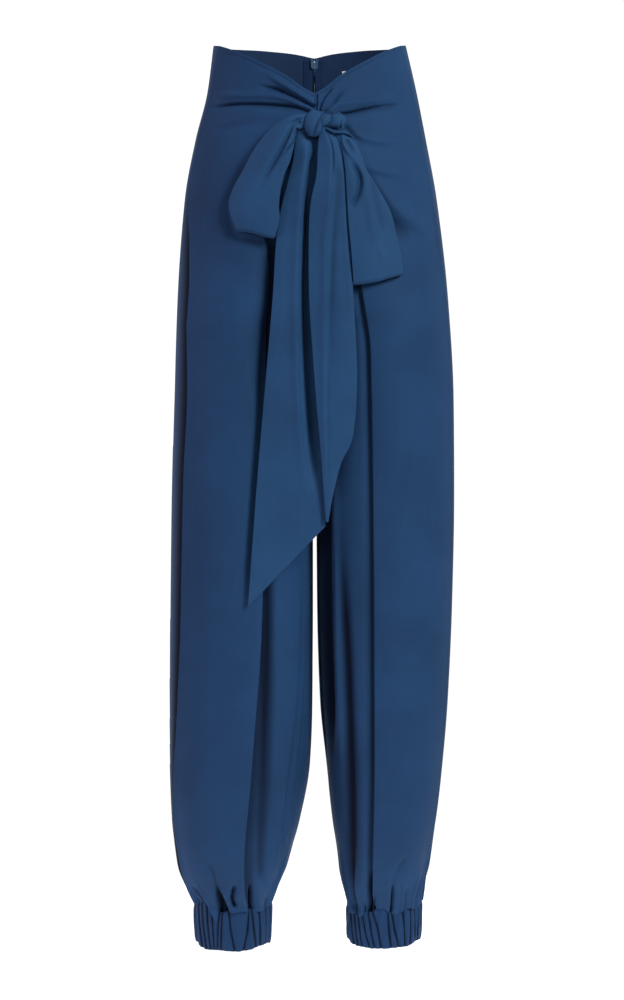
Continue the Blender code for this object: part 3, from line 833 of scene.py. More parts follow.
FRONT_FOLDS = folds(
    (3.6, 1.7, 4.6, 0.4, 0.03, 262, 71, 272.5, 78, 287, 86.8, 300.6, 95.2, 316, 105.5),
    (-5.4, 2.6, 2, 0.45, 0.04, 252, 84, 266, 87.4, 276.5, 89.4, 287, 93.6, 298, 99, 308, 104, 316, 108.4),
    (2.8, 2.8, 3.6, 0.2, 0.04, 212, 98, 225.6, 95.4, 244, 95.6, 268.5, 95.6,
     287, 99, 300.6, 103.2, 315, 110),
    (-2.6, 6, 1.5, 0.12, 0.05, 208, 110, 220, 106, 234, 104, 255, 103.7, 271, 104.4,
     285, 105.7, 298, 107.4, 314, 113),
    (-3, 1.7, 1, 0.2, 0.04, 212, 108, 234, 104.2, 255, 103.9, 271, 104.6,
     285, 105.9, 298, 107.8, 314, 113.4),
    (-1.6, 6, 4, 0.3, 0.4, 206, 131, 228, 126, 252, 123, 272, 124),
    (1.3, 6, 5, 0.2, 0.3, 206, 112, 235, 110, 272, 114, 292, 117),
    (-2.4, 0.8, 0.7, 0.15, 0.02, 316.6, 93, 316.8, 114),
    (1.8, 0.8, 0.9, 0.1, 0.05, 319.4, 94, 318.6, 102, 317.8, 112),
    (-3.8, 1, 1.2, 0.03, 0.3, 319.6, 111, 321.6, 104, 325, 98, 330, 91.6, 335, 86),
    (2, 1.2, 2.6, 0.03, 0.4, 321.6, 111, 324, 104.6, 327.4, 99, 332.2, 92.8, 337.4, 87),
    (-3.2, 1.3, 2.3, 0.05, 0.45, 322, 114, 329, 108, 333.6, 104, 338.6, 97.6, 344, 93, 350, 90),
    (3.2, 5.5, 2.2, 0.05, 0.3, 326, 112, 335, 105.5, 346, 102.6, 360, 101, 377, 98.5, 398, 94),
    (-2.6, 5, 1.4, 0.05, 0.25, 328, 116, 334, 116.5, 341, 113.6, 350, 112.2,
     370, 107.8, 392, 105, 407, 104),
    (-3, 1.3, 0.9, 0.05, 0.4, 330, 116.6, 341, 113.8, 350, 112.4, 370, 108, 388, 105.4),
    (-3.4, 3, 2.2, 0.2, 0.4, 344, 124, 349, 131, 356, 138, 364, 142),
    (2.6, 4, 2.2, 0.2, 0.4, 350, 134, 366, 138.5, 384, 141.5, 402, 142),
    (3.2, 5, 2, 0.15, 0.5, 364, 165, 376, 169, 392, 172.5, 410, 174),
    (-5, 10, 4, 0.15, 0.35, 362, 172, 374, 190, 386, 211, 400, 227, 420, 243),
    (3.6, 4, 9, 0.2, 0.35, 370, 176, 384, 195, 397, 210, 417, 227, 434, 238),
    (2.9, 9, 1.2, 0.2, 0.08, 300, 560, 298.5, 620, 295.5, 697, 289, 753, 280, 830, 274.5, 884),
    (1.5, 4, 1, 0.2, 0.1, 306, 560, 305, 620, 302, 690, 297, 751, 290, 810, 283, 860),
    (-4.6, 5, 6.5, 0.12, 0.12, 267, 560, 267, 611, 267.5, 688, 265, 764, 261.6, 840, 262, 884, 262, 904),
    (-7.4, 5.2, 6.8, 0.3, 0.12, 337, 520, 343, 620, 346.6, 694, 349.2, 780, 350.2, 850, 352.4, 888),
    (2.8, 1.6, 3.4, 0.2, 0.25, 334.5, 440, 336, 600, 338.5, 700, 340, 790),
    (-8.5, 9, 5, 0.2, 0.25, 325, 430, 326, 600, 329, 700, 332, 790),
    # These two grooves beside the right tail sink the leg, and the crease darkening turns them into
    # painted shade for the tail's cast shadow.
    (-3.4, 9, 5, 0.12, 0.12, 276, 238, 270, 330, 263, 430, 257, 520, 249, 606),
    (-4.2, 17, 6, 0.08, 0.35, 274, 236, 269, 300, 263, 350, 256, 430),
    (-2.2, 6, 4, 0.2, 0.2, 250, 150, 233, 188, 228, 206, 236, 236, 262, 240, 276, 242),
    (-3, 9, 9, 0.1, 0.2, 300, 250, 302, 340, 306, 430, 314, 500),
)

ANKLE_FOLDS = folds(
    (-9.5, 2, 3.4, 0.4, 0, 214.6, 876, 216.4, 886, 218.2, 897, 219.5, 914),
    (-8.5, 4, 1.5, 0.3, 0, 219, 886, 223.5, 897, 227.5, 906, 230, 914),
    (-2.2, 3.5, 1.6, 0.3, 0.2, 204, 861, 210, 865, 214, 872, 217, 882),
    (4.6, 1.3, 2.4, 0.25, 0, 219, 881, 224, 892, 229.5, 903, 236, 909, 240, 912),
    (-9, 1.6, 2.6, 0.35, 0.15, 236.4, 880, 233, 888, 231.6, 896, 235, 904),
    (3.4, 4, 1.4, 0.3, 0, 243, 872, 242.6, 888, 245.6, 900, 249, 911),
    (-8, 1.6, 1.8, 0.35, 0, 251, 880, 251, 894, 252, 912),
    (2.4, 3, 4, 0.4, 0, 262, 868, 260, 890, 259, 912),
    (-2.6, 1.6, 1.6, 0.5, 0, 268, 886, 266.5, 898, 266, 914),
    (-5.4, 2, 2.2, 0.4, 0, 191, 884, 197, 894, 203, 902, 206, 912),
    (3, 1.6, 4, 0.4, 0, 194, 884, 201, 894, 208, 902, 213, 911, 218, 922),
    (-4, 1.4, 1.4, 0.4, 0, 195, 896, 199, 904, 201, 914),
    (-5.6, 2.6, 1.6, 0.3, 0, 349.6, 846, 350.8, 868, 353, 889, 356, 903.5, 360.6, 918),
    (1.8, 3, 2.4, 0.4, 0, 357, 872, 359, 890, 362.5, 904),
    (-4.8, 1.3, 1.3, 0.4, 0, 363.4, 894, 363.8, 904, 364.4, 914),
    (-8.4, 2.4, 1.6, 0.4, 0, 371.4, 866, 370.8, 884, 370.6, 898, 368.4, 914),
    (-4.6, 1, 1.2, 0.4, 0, 374.6, 888, 375.3, 902, 376.6, 912),
    (-8.4, 1.8, 1.5, 0.45, 0, 393.6, 874, 392.4, 888, 391, 902, 389, 916),
    (-2.2, 2.6, 5, 0.3, 0.4, 409, 852, 402, 862, 394, 873, 388, 882),
    (1.9, 1.6, 2.4, 0.4, 0, 404, 878, 402.6, 894, 401, 912),
    (-3.2, 1.4, 2.4, 0.4, 0, 406, 882, 404.4, 898, 403, 914),
    (1.8, 1.4, 1.2, 0.4, 0, 421, 866, 417, 881, 413, 892, 411, 906),
    (-3.8, 1.2, 1.8, 0.4, 0, 421.8, 872, 417.6, 887, 414.4, 898, 414, 914),
    (-2.6, 1.5, 1.5, 0.4, 0, 346.5, 896, 349, 908, 351, 918),
)

RIM_ROWS = {
    Side.RIGHT: SizeTable(("column", "row"), (
        (194, 905), (200, 903), (206, 900.5), (210, 906), (214, 916), (218.4, 923.5),
        (221.5, 917.5), (225, 914), (232, 912.5), (239, 911.5), (246, 911), (253, 911),
        (259, 911.5), (264.5, 909), (268, 905), (272, 901),
    )),
    Side.LEFT: SizeTable(("column", "row"), (
        (345, 904), (349, 909), (354, 913.5), (360.5, 917), (364.5, 914), (369, 914.5),
        (376, 911), (380, 908.5), (386, 909.5), (389.5, 914.5), (396, 914), (402, 911),
        (410, 908), (415, 909.5), (419, 903), (422, 900),
    )),
}
CUFF_ROWS = {
    Side.RIGHT: SizeTable(("column", "row"), (
        (195, 941), (198.4, 946), (201.4, 948), (205.2, 949.8), (216, 950.6), (226, 951.2),
        (236.6, 952), (245, 951), (253.4, 949.2), (261, 946.3), (265.7, 944.8), (271, 942.5),
    )),
    Side.LEFT: SizeTable(("column", "row"), (
        (346, 938), (347.5, 941), (352, 944.5), (356, 946.3), (366, 947.9), (370, 949),
        (384, 949), (397.3, 947.9), (409.6, 946.3), (414.2, 943.6), (421.8, 938.7),
    )),
}
CUFF_GROOVES = {
    Side.RIGHT: (
        (197.6, 198.6, 200.6), (201.2, 202.4, 205), (206.6, 207.2, 209.4), (211.6, 212.6, 213.4),
        (218.8, 217.6, 216.4), (222.4, 221.2, 220.4), (229.2, 231, 235.2), (249.6, 248.2, 244.2),
        (252.2, 254.4, 257.2), (259.4, 260.6, 261.6), (265.6, 266.4, 266.8), (270, 270.2, 269.6),
    ),
    Side.LEFT: (
        (350, 351.2, 352.6), (353.5, 354.8, 356.6), (357.2, 358.8, 361), (361.6, 364, 368.6),
        (367.8, 370.3, 373.8), (371.8, 377.2, 380.8), (387.6, 388.6, 391.2), (391.6, 394.6, 399.4),
        (402.6, 404.4, 406), (410.6, 411.2, 411.6), (415, 416, 416.8), (418.6, 419.2, 419.4),
    ),
}


@dataclass(frozen=True)
class RimLine:
    """An edge round an ankle whose front is drawn on the photograph.

    Args:
        side: the wearer's side.
        form: the form that the cloth takes.
        view: the photograph's camera.
        drop: the edge's own drop.
        rows: the edge's pixel rows in front, by pixel column.
    """

    side: Side
    form: BodyForm
    view: PhotoView
    drop: float
    rows: SizeTable

    def seen(self, points: Array) -> Array:
        """Give how far below its own drop the edge is seen at points."""
        column, _ = self.view.pixels(points)
        return -self.view.points(column, self.rows.read("row", column), points[..., 1])[..., 2] - self.drop

    def hang(self, points: Array) -> Array:
        """Give how far below its own drop the edge hangs, as seen in front and evenly behind."""
        half, centre, _, _ = self.form.ring(self.side.value, np.array(self.form.hem_drop))
        ends = self.side.value * (centre + half * np.array([-1.0, 1.0]))
        corners = self.seen(np.stack([ends, 0 * ends, 0 * ends - self.drop], axis=-1))
        share = (points[..., 0] - ends[0]) / (ends[1] - ends[0])
        even = corners[0] + (corners[1] - corners[0]) * np.clip(share, 0, 1)
        return even + (self.seen(points) - even) * ease(-points[..., 1] / 10)


@dataclass
class LegPanels:
    """The front and back leg panels, waist to ankle.

    Args:
        form: the form that the cloth takes.
        view: the photograph's camera.
        cloth: the cloth's thickness.
        top_fade: the drop by which the rows are level.
        pleat_overlap: how far the pleat lies over the cloth beside it.
        pleat_layer: half the distance between the pleat's layers.
        pleat_spread: half the width of its columns where it is open.
        flap_lift, flap_reach: how far the pleat's edge stands out, and over what width.
        flap_sinks: right and left, how deep the cloth beside the edge sinks and over what
            width.
        seam_lap, seam_tuck, seam_reach: how far the front stands out and the back sinks
            in beside the side seam, and over what width.
        underlap: how far the back runs under the front.
        draw_in, overhang: how far the cloth is drawn in above the cuff, and how far its
            front hangs over the cuff.
        closed: how far the panels stop short of the centre.
        top_rolls: the roll of the top edge, as height, distance below the edge and width.
        low_shade: how much painted shade darkens the cloth low down.
        strip_shade, strip_reach: how much painted shade darkens the right and the left back beside the
            side seam, and over what width.
        zip_slot, zip_start, zip_end: half the width of the slot for the slider, and the
            drops where it starts and ends.
        knot, knot_reach: the knot's pixel, and the pixels round it that are left flat.
        front_columns: the columns outside, in and inside the pleat.
        back_columns: the back's columns.
        front_spans, back_spans: the rows, as (end, step).
        front_cut, back_cut: flat width, length and area in metres.
        front_top, back_top: the top edge's drop, by its place from the centre to the side.
        pleat: the pleat's distance from the centre by side, and how far it is folded.
    """

    form: BodyForm
    view: PhotoView
    cloth: float = 0.9
    top_fade: float = 250.0
    pleat_overlap: float = 22.0
    pleat_layer: float = 1.15
    pleat_spread: float = 32.0
    flap_lift: float = 1.6
    flap_reach: float = 26.0
    seam_lap: float = 2.2
    seam_tuck: float = 5.0
    seam_reach: float = 9.0
    underlap: float = 5.0
    draw_in: float = 3.2
    overhang: float = 4.2
    closed: float = 0.02
    top_rolls: tuple = ((0.9, 1.5, 1.8), (-0.5, 5.5, 2.0))
    low_shade: float = 0.12
    strip_shade: tuple = (1.1, 0.3)
    strip_reach: float = 38.0
    flap_sinks: tuple = ((0.6, 18.0), (0.4, 13.0))
    zip_slot: float = 1.7
    zip_start: float = 12.6
    zip_end: float = 22.5
    knot: tuple = (316.0, 124.0)
    knot_reach: float = 9.0
    front_columns: tuple = (50, 40, 58)
    back_columns: int = 96
    front_spans: tuple = ((115, 1.6), (250, 3.0), (345, 5.0), (880, 6.8), (1030, 1.9))
    back_spans: tuple = ((7, 1.0), (250, 5.0), (345, 5.0), (880, 8.0), (1030, 2.4))
    front_cut: tuple = (0.29, 1.05, 0.27)
    back_cut: tuple = (0.33, 1.05, 0.32)
    front_top: SizeTable = SizeTable(
        ("place", "drop"),
        (
            (0, 68), (0.12, 60), (0.27, 47), (0.42, 37), (0.55, 29), (0.68, 21), (0.81, 14),
            (0.93, 8), (1, 5),
        ),
    )
    back_top: SizeTable = SizeTable(
        ("place", "drop"),
        ((0, 9), (0.05, 8), (0.12, 6), (0.25, 3.5), (0.4, 2), (0.6, 1), (0.85, 2), (1, 5)),
    )
    pleat: SizeTable = SizeTable(
        ("drop", "right", "left", "folded"),
        (
            (0, 45, 40, 0), (150, 48, 46, 0), (285, 53, 55, 1), (365, 56, 66, 1), (665, 62, 71, 1),
            (865, 76, 72, 1), (980, 85, 70.5, 1), (1005, 85, 70.5, 1), (1030, 80, 72.5, 0.9),
        ),
    )

    def drops(self, side: int, points: Array, spans: tuple) -> Array:
        """Spread rows from the top edge to the ankle.

        Args:
            side: -1 or 1.
            points: the panel laid out so far, whose columns meet the top edge.
            spans: the rows, as (end, step).

        Returns:
            The drop of each point.
        """
        place = np.clip(np.abs(points[0, :, 0]) / self.form.ring(side, np.zeros(1))[0], 0, 1)
        in_front = points[0, :, 1] < 0
        top = np.where(in_front, self.front_top.read("drop", place), self.back_top.read("drop", place))
        levels = [0.0]
        for end, step in spans:
            count = max(1, round((end - levels[-1]) / step))
            levels += list(np.linspace(levels[-1], end, count + 1)[1:])
        level = np.array(levels)[:, None]
        return level + top[None, :] * np.clip(1 - level / self.top_fade, 0, 1)

    def pleat_profile(self, folded: float, count: int) -> tuple:
        """Give the pleat's columns at a folded share.

        Args:
            folded: 0 for flat cloth and 1 for the closed pleat.
            count: how many columns it has.

        Returns:
            The columns' places along the ring's arc, and how far they stand out.
        """
        r = self.pleat_layer
        turn = np.linspace(math.pi / 2, -math.pi / 2, 9)
        edge = np.stack([r * np.cos(turn), -r + r * np.sin(turn)], axis=-1)
        back = np.stack([-self.pleat_overlap - r * np.cos(turn), -3 * r + r * np.sin(turn)], axis=-1)
        under = [(-self.pleat_overlap / 2, -4 * r), (2, -4 * r)]
        closed = np.concatenate([[(-6, 0)], edge, back, under])
        along = np.concatenate([[0], np.cumsum(np.hypot(*np.diff(closed, axis=0).T))])
        order = np.arange(len(closed))
        spread = 0.55 * along / along[-1] + 0.45 * order / order[-1]
        at = np.interp(np.linspace(0, 1, count), spread, along)
        closed = np.stack([np.interp(at, along, closed[:, k]) for k in (0, 1)], axis=-1)
        flat = np.linspace(-self.pleat_spread, self.pleat_spread, count)
        return flat + (closed[:, 0] - flat) * folded, closed[:, 1] * folded

    def front_points(self, side: Side, drops: Array, folded_cloth: bool) -> tuple:
        """Lay out one front panel with its pleat, folds and gathers.

        Args:
            side: the wearer's side.
            drops: the drop of each point.
            folded_cloth: whether its folds are laid in.

        Returns:
            The points, and how far each stands out of the form.
        """
        form, number = self.form, side.value
        outer_count, pleat_count, inner_count = self.front_columns
        angles, out = np.zeros(drops.shape), np.zeros(drops.shape)
        step = np.arange(1, inner_count + 1) / inner_count
        share = np.arange(outer_count) / outer_count
        for i, drop in enumerate(drops):
            level = drop[outer_count]
            edge = -form.angle_at(number, level, self.pleat.read(side.word, level))
            radius = form.arc_radius(number, level, edge)
            folded = self.pleat.read("folded", level)
            along, inwards = self.pleat_profile(folded, pleat_count)
            pleat = edge - along / radius
            first = form.seam_angle(number, drop[:1], -1)[0]
            last = -form.end_angle(number, drop[-1:], self.closed, "front")[0]
            outer = first + (pleat[0] - first) * share
            inner = pleat[-1] + (last - pleat[-1]) * step
            angles[i] = np.concatenate([outer, pleat, inner])
            away = (pleat[-1] - inner) * radius
            flap = self.flap_lift * folded
            lift = flap * np.exp(-((pleat[0] - outer) * radius / self.flap_reach) ** 2)
            from_seam = (outer - first) * form.arc_radius(number, drop[:outer_count], outer)
            lift += self.seam_lap * ease(level / 60) * np.exp(-np.abs(from_seam) / self.seam_reach)
            valley, reach = self.flap_sinks[side is Side.LEFT]
            sink = -valley * folded * np.sin(math.pi * np.clip(away / self.flap_reach, 0, 1))
            rise = inwards[-1] * (1 - ease(away / reach)) + sink
            out[i] = np.concatenate([lift, inwards + flap * (inwards > -0.5), rise])
        base = form.skin(number, drops, angles, 0)
        if not folded_cloth:
            return form.skin(number, drops, angles, out), out
        column, row = self.view.pixels(base)
        laid = fold_heights(FRONT_FOLDS, column, row)
        from_knot = np.hypot(column - self.knot[0], row - self.knot[1])
        laid *= ease((from_knot - self.knot_reach) / 6.0)
        laid += fold_heights(ANKLE_FOLDS, column, row) * ease((drops - 900) / 60)
        fade = ease(np.arange(drops.shape[1]) / 5.0)
        fade[-3:] *= (0.9, 0.7, 0.5)
        out = out + laid * fade
        below_edge = drops - drops[:1]
        for height, place, width in self.top_rolls:
            out = out + height * np.exp(-((below_edge - place) / width) ** 2)
        tucked = self.draw_in - self.overhang * ease(-base[..., 1] / 24)
        out = out + self.ripples(base, drops) * fade - tucked * ease((drops - 985) / 45)
        return form.skin(number, self.let_down(side, drops, base), angles, out), out

    def let_down(self, side: Side, drops: Array, base: Array) -> Array:
        """Let the lowest rows down to the edge that the photograph shows."""
        rim = RimLine(side, self.form, self.view, self.form.hem_drop, RIM_ROWS[side])
        return drops + rim.hang(base[-1]) * ease((drops - 960) / 70)

    def ripples(self, base: Array, drops: Array) -> Array:
        """Give the cloth's faint unevenness, and the soft gathers above the cuff."""
        x, y = base[..., 0], base[..., 1]
        slow = 0.5 * np.sin(x / 23 + 1.3 * np.sin(drops / 95)) + 0.35 * np.sin(x / 11 + drops / 160 + 2)
        slow += 0.3 * np.sin(drops / 41 + x / 30)
        turn = np.arctan2(y, np.abs(x) - 95)
        gather = np.sin(11 * turn + 0.8 * np.sin(3 * turn)) + 0.5 * np.sin(19 * turn + 2)
        side_part = np.where(y < -30, 0.25, 1.0)
        return slow * ease(drops / 120) * 0.6 + 2.0 * gather * side_part * ease((drops - 935) / 60)

    def back_points(self, side: Side, drops: Array, folded_cloth: bool) -> tuple:
        """Lay out one back panel, which wraps forward to the side seam.

        Args:
            side: the wearer's side.
            drops: the drop of each point.
            folded_cloth: whether its folds are laid in.

        Returns:
            The points, and how far each stands out of the form.
        """
        form, number = self.form, side.value
        columns = drops.shape[1]
        angles = np.zeros(drops.shape)
        for i, drop in enumerate(drops):
            low = drop[-1:]
            open_here = ease((low - self.zip_start) / 1.2) * (1 - ease((low - self.zip_end) / 8))
            slot = self.closed + self.zip_slot * open_here
            seam = form.seam_angle(number, drop[:1], 1)
            under = self.underlap * ease((drop[:1] - 14) / 50)
            first = (seam - under / form.arc_radius(number, drop[:1], seam))[0]
            last = form.end_angle(number, drop[-1:], slot, "back")[0]
            angles[i] = first + (last - first) * np.linspace(0, 1, columns) ** 0.92
        base = form.skin(number, drops, angles, 0)
        if not folded_cloth:
            return base, np.zeros(drops.shape)
        x, y = base[..., 0], base[..., 1]
        hang = ease((drops - 330) / 250) * (y > 0)
        out = 1.5 * np.sin(x / 10.5 + 0.7 * np.sin(drops / 130) + number) * hang
        seat = np.exp(-((drops - 330) / 70) ** 2) * np.exp(-((np.abs(x) - 30) / 34) ** 2)
        out += 1.3 * np.sin((drops + 0.8 * np.abs(x)) / 9.5) * seat * (y > 0)
        turn = np.arctan2(y, np.abs(x) - 95)
        gather = np.sin(13 * turn + 0.9 * np.sin(3 * turn + number)) + 0.5 * np.sin(23 * turn)
        out += 2.4 * gather * ease((drops - 930) / 60)
        fade = ease(np.arange(columns) / 5.0)
        fade[-4:] *= (0.9, 0.7, 0.4, 0.15)
        from_seam = (angles - angles[:, :1]) * form.arc_radius(number, drops, angles)
        tuck = self.seam_tuck * ease(drops / 80) * np.exp(-(from_seam / self.seam_reach) ** 2)
        out = out * fade - tuck - self.draw_in * ease((drops - 985) / 45)
        return form.skin(number, self.let_down(side, drops, base), angles, out), out

    def lay(self, side: Side, front: bool) -> tuple:
        """Lay a panel out until its top edge is where its columns really meet it.

        Args:
            side: the wearer's side.
            front: whether it is a front panel.

        Returns:
            The points, and how far each stands out of the form.
        """
        spans = self.front_spans if front else self.back_spans
        columns = sum(self.front_columns) if front else self.back_columns
        points = np.zeros((1, columns, 3))
        points[0, :, 0] = np.linspace(float(self.form.ring(side.value, np.array(0.0))[0]), 0, columns)
        points[0, :, 1] = -1 if front else 1
        make = self.front_points if front else self.back_points
        for last in (False, False, False, True):
            points, out = make(side, self.drops(side.value, points, spans), last)
        return points, out

    @staticmethod
    def line_inside(piece: Object, outside_count: int, inside: Material) -> None:
        """Give the faces on a panel's inside the wrong side of the cloth, darker partly as painted shade.

        Args:
            piece: the panel.
            outside_count: how many of its points are on the outside.
            inside: the wrong side's finish, darker partly as painted shade.
        """
        piece.data.materials.append(inside)
        faces = piece.data.polygons
        corners = np.zeros(4 * len(faces), dtype=np.int32)
        faces.foreach_get("vertices", corners)
        index = (corners.reshape(-1, 4).min(axis=1) >= outside_count).astype(np.int32)
        faces.foreach_set("material_index", index)

    def add(self, side: Side, front: bool, finish: Material, inside: Material) -> None:
        """Add one panel, its edges trimmed square at the seams.

        Args:
            side: the wearer's side.
            front: whether it is a front panel.
            finish: its cloth.
            inside: the wrong side of its cloth, darker partly as painted shade.
        """
        points, out = self.lay(side, front)
        number = side.value
        keep, way = (np.minimum, -1) if front else (np.maximum, 1)
        faces = two_faces(points, self.cloth, (number * 0.5, way, 0))
        limit, height = self.closed, points[..., 2]
        drops = -points[:, -1, 2]
        edge = np.abs(points[:, -1, 0])
        on_centre = edge < limit + self.zip_slot + 0.01
        below = drops > self.form.crotch_drop - 12
        for grid in faces:
            grid[-1, :, 2] = points[-1, :, 2]
            grid[on_centre, -1, 0] = number * edge[on_centre]
            grid[below, -1, 1] = keep(grid[below, -1, 1], way * limit)
            grid[..., 0] = number * np.maximum(number * grid[..., 0], limit)
        vertices, quads = wall(*faces)
        # Painted shade: cloth sunk below the form, in grooves, valleys and the pleat's hidden layers, is
        # darkened, and so is the cloth low down.
        depth = np.clip(-out - 0.8, 0, 6) / 7 + self.low_shade * ease((-height - 560) / 300)
        # Painted shade on the back beside the side seam, for the shade beside the front's lapped edge.
        if not front:
            along = np.linalg.norm(np.diff(points, axis=1), axis=-1).cumsum(axis=1)
            along = np.pad(along, ((0, 0), (1, 0))) - self.underlap
            shade = self.strip_shade[side is Side.LEFT] * (1 - ease(along / self.strip_reach))
            depth = depth + shade * ease((-height - 150) / 110)
        crease = np.tile(depth.reshape(-1), 2)
        word = "front" if front else "back"
        piece = add_piece(f"{word}_panel_{side.word}", vertices, quads, finish, Slot.MAIN, crease)
        self.line_inside(piece, height.size, inside)
        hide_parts(f"{word}_{side.word}")
        width, length, area = self.front_cut if front else self.back_cut


@dataclass
class Cuff:
    """One elasticated cuff: lobes of cloth between the gathers, whose grooves are darkened with painted
    shade.

    Args:
        side: the wearer's side.
        form: the form that the cloth takes.
        view: the photograph's camera.
        height: its height.
        cloth: its thickness.
        lobe: how far the lobes stand out.
        taper: how much narrower it is at the bottom.
        line_width: the width of the painted shade along each gather's groove.
        lowest_top: how far its top may follow the leg's edge down.
        tuck_up: how far its top runs up inside the leg.
        back_gathers: how many gathers the back has.
        columns: how many columns of points it has.
        rows: how many rows of points it has.
        cut: its flat width and length in metres; not used.
    """

    side: Side
    form: BodyForm
    view: PhotoView
    height: float = 49.0
    cloth: float = 1.8
    lobe: float = 3.3
    taper: float = 1.6
    line_width: float = 1.3
    lowest_top: float = 8.0
    tuck_up: float = 2.6
    back_gathers: int = 17
    columns: int = 560
    rows: int = 26
    cut: tuple = (0.36, 0.052)

    def groove_angles(self, level: float) -> Array:
        """Give the gathers' angles round the cuff.

        Args:
            level: the place from its top, 0, to its bottom, 1.

        Returns:
            The angles in order.
        """
        half, centre, _, _ = self.form.ring(self.side.value, np.array(self.form.hem_drop))
        found = []
        for places in CUFF_GROOVES[self.side]:
            column = np.interp(level, (0, 0.5, 1), places)
            spot = self.view.points(np.array([column]), np.array([905 + 40 * level]), np.array([-30.0]))[0]
            reach = (self.side.value * spot[0] - centre) / half
            found.append(-math.acos(float(np.clip(reach, -0.995, 0.995))))
        found = sorted(found)
        rest = np.linspace(found[-1], found[0] + 2 * math.pi, self.back_gathers + 2)[1:-1]
        index = np.arange(self.back_gathers)
        rest = rest + 0.05 * np.sin(2.3 * index) + 0.06 * (level - 0.5) * np.sin(1.7 * index + 1)
        return np.sort(np.concatenate([found, rest]))

    def lobes(self, level: float, angle: Array) -> tuple:
        """Give the lobes between the gathers at a level.

        Args:
            level: the place from its top, 0, to its bottom, 1.
            angle: the points' angles.

        Returns:
            How far the points stand out, and how much painted shade darkens them.
        """
        lines = self.groove_angles(level)
        ends = np.concatenate([lines, lines[:1] + 2 * math.pi])
        turn = np.where(angle < ends[0], angle + 2 * math.pi, angle)
        i = np.clip(np.searchsorted(ends, turn, side="right") - 1, 0, len(ends) - 2)
        gap = np.maximum(ends[i + 1] - ends[i], 1e-3)
        share = (turn - ends[i]) / gap
        tall = self.lobe * np.clip(gap / 0.26, 0.25, 1.1)
        swell = 0.72 + 0.28 * math.sin(math.pi * min(max(level, 0.06), 0.94))
        rise = tall * swell * np.sin(math.pi * np.clip(share, 0, 1)) ** 0.5
        rise += 0.35 * np.sin(37 * turn + 4 * level)
        half = self.form.ring(self.side.value, np.array(self.form.hem_drop))[0]
        from_line = np.minimum(share, 1 - share) * gap * half
        return rise, np.exp(-(from_line / self.line_width) ** 2)

    def add(self, finish: Material) -> None:
        """Add the cuff.

        Args:
            finish: its cloth.
        """
        side, form, number = self.side, self.form, self.side.value
        half, centre, front, _ = form.ring(number, np.array(form.hem_drop))
        angle = np.linspace(-math.pi, math.pi, self.columns, endpoint=False)
        x, y = number * (centre + half * np.cos(angle)), front * np.sin(angle)
        top = form.hem_drop + form.seam_gap
        end = top + self.height
        leg = RimLine(side, form, self.view, top, RIM_ROWS[side])
        hem = RimLine(side, form, self.view, end, CUFF_ROWS[side])
        sag = leg.hang(np.stack([x, y, 0 * angle - form.hem_drop], axis=-1))
        top = top + np.minimum(sag, self.lowest_top) - self.tuck_up * ease(-y / 10)
        bottom = end + hem.hang(np.stack([x, y, 0 * angle - end], axis=-1))
        outer, inner, crease_shades = [], [], []
        for row in range(self.rows):
            level = row / (self.rows - 1)
            rise, groove_shade = self.lobes(level, angle)
            drop = top + (bottom - top) * level
            tuck = 0.9 * (1 - min(1.0, level * 9)) + 0.9 * (1 - min(1.0, (1 - level) * 9))
            tuck += self.taper * level
            for ring, out in ((outer, 0.1 + rise - tuck), (inner, -self.cloth + 0 * rise)):
                x = number * (centre + (half - 2.0 + out) * np.cos(angle))
                y = (front - 0.5 + out) * np.sin(angle)
                ring.append(np.stack([x, y, np.full(x.shape, -drop)], axis=-1))
            # Painted shade along the gathers' grooves; the inside is left unshaded.
            crease_shades.append(0.95 * groove_shade)
        vertices, quads = wall(np.array(outer), np.array(inner), around=True)
        crease = np.array(crease_shades).reshape(-1)
        crease = np.concatenate([crease, 0 * crease])
        piece = add_piece(f"cuff_gathers_{side.word}", vertices, quads, finish, Slot.CUFF, crease)
        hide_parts(f"cuff_{side.word}")


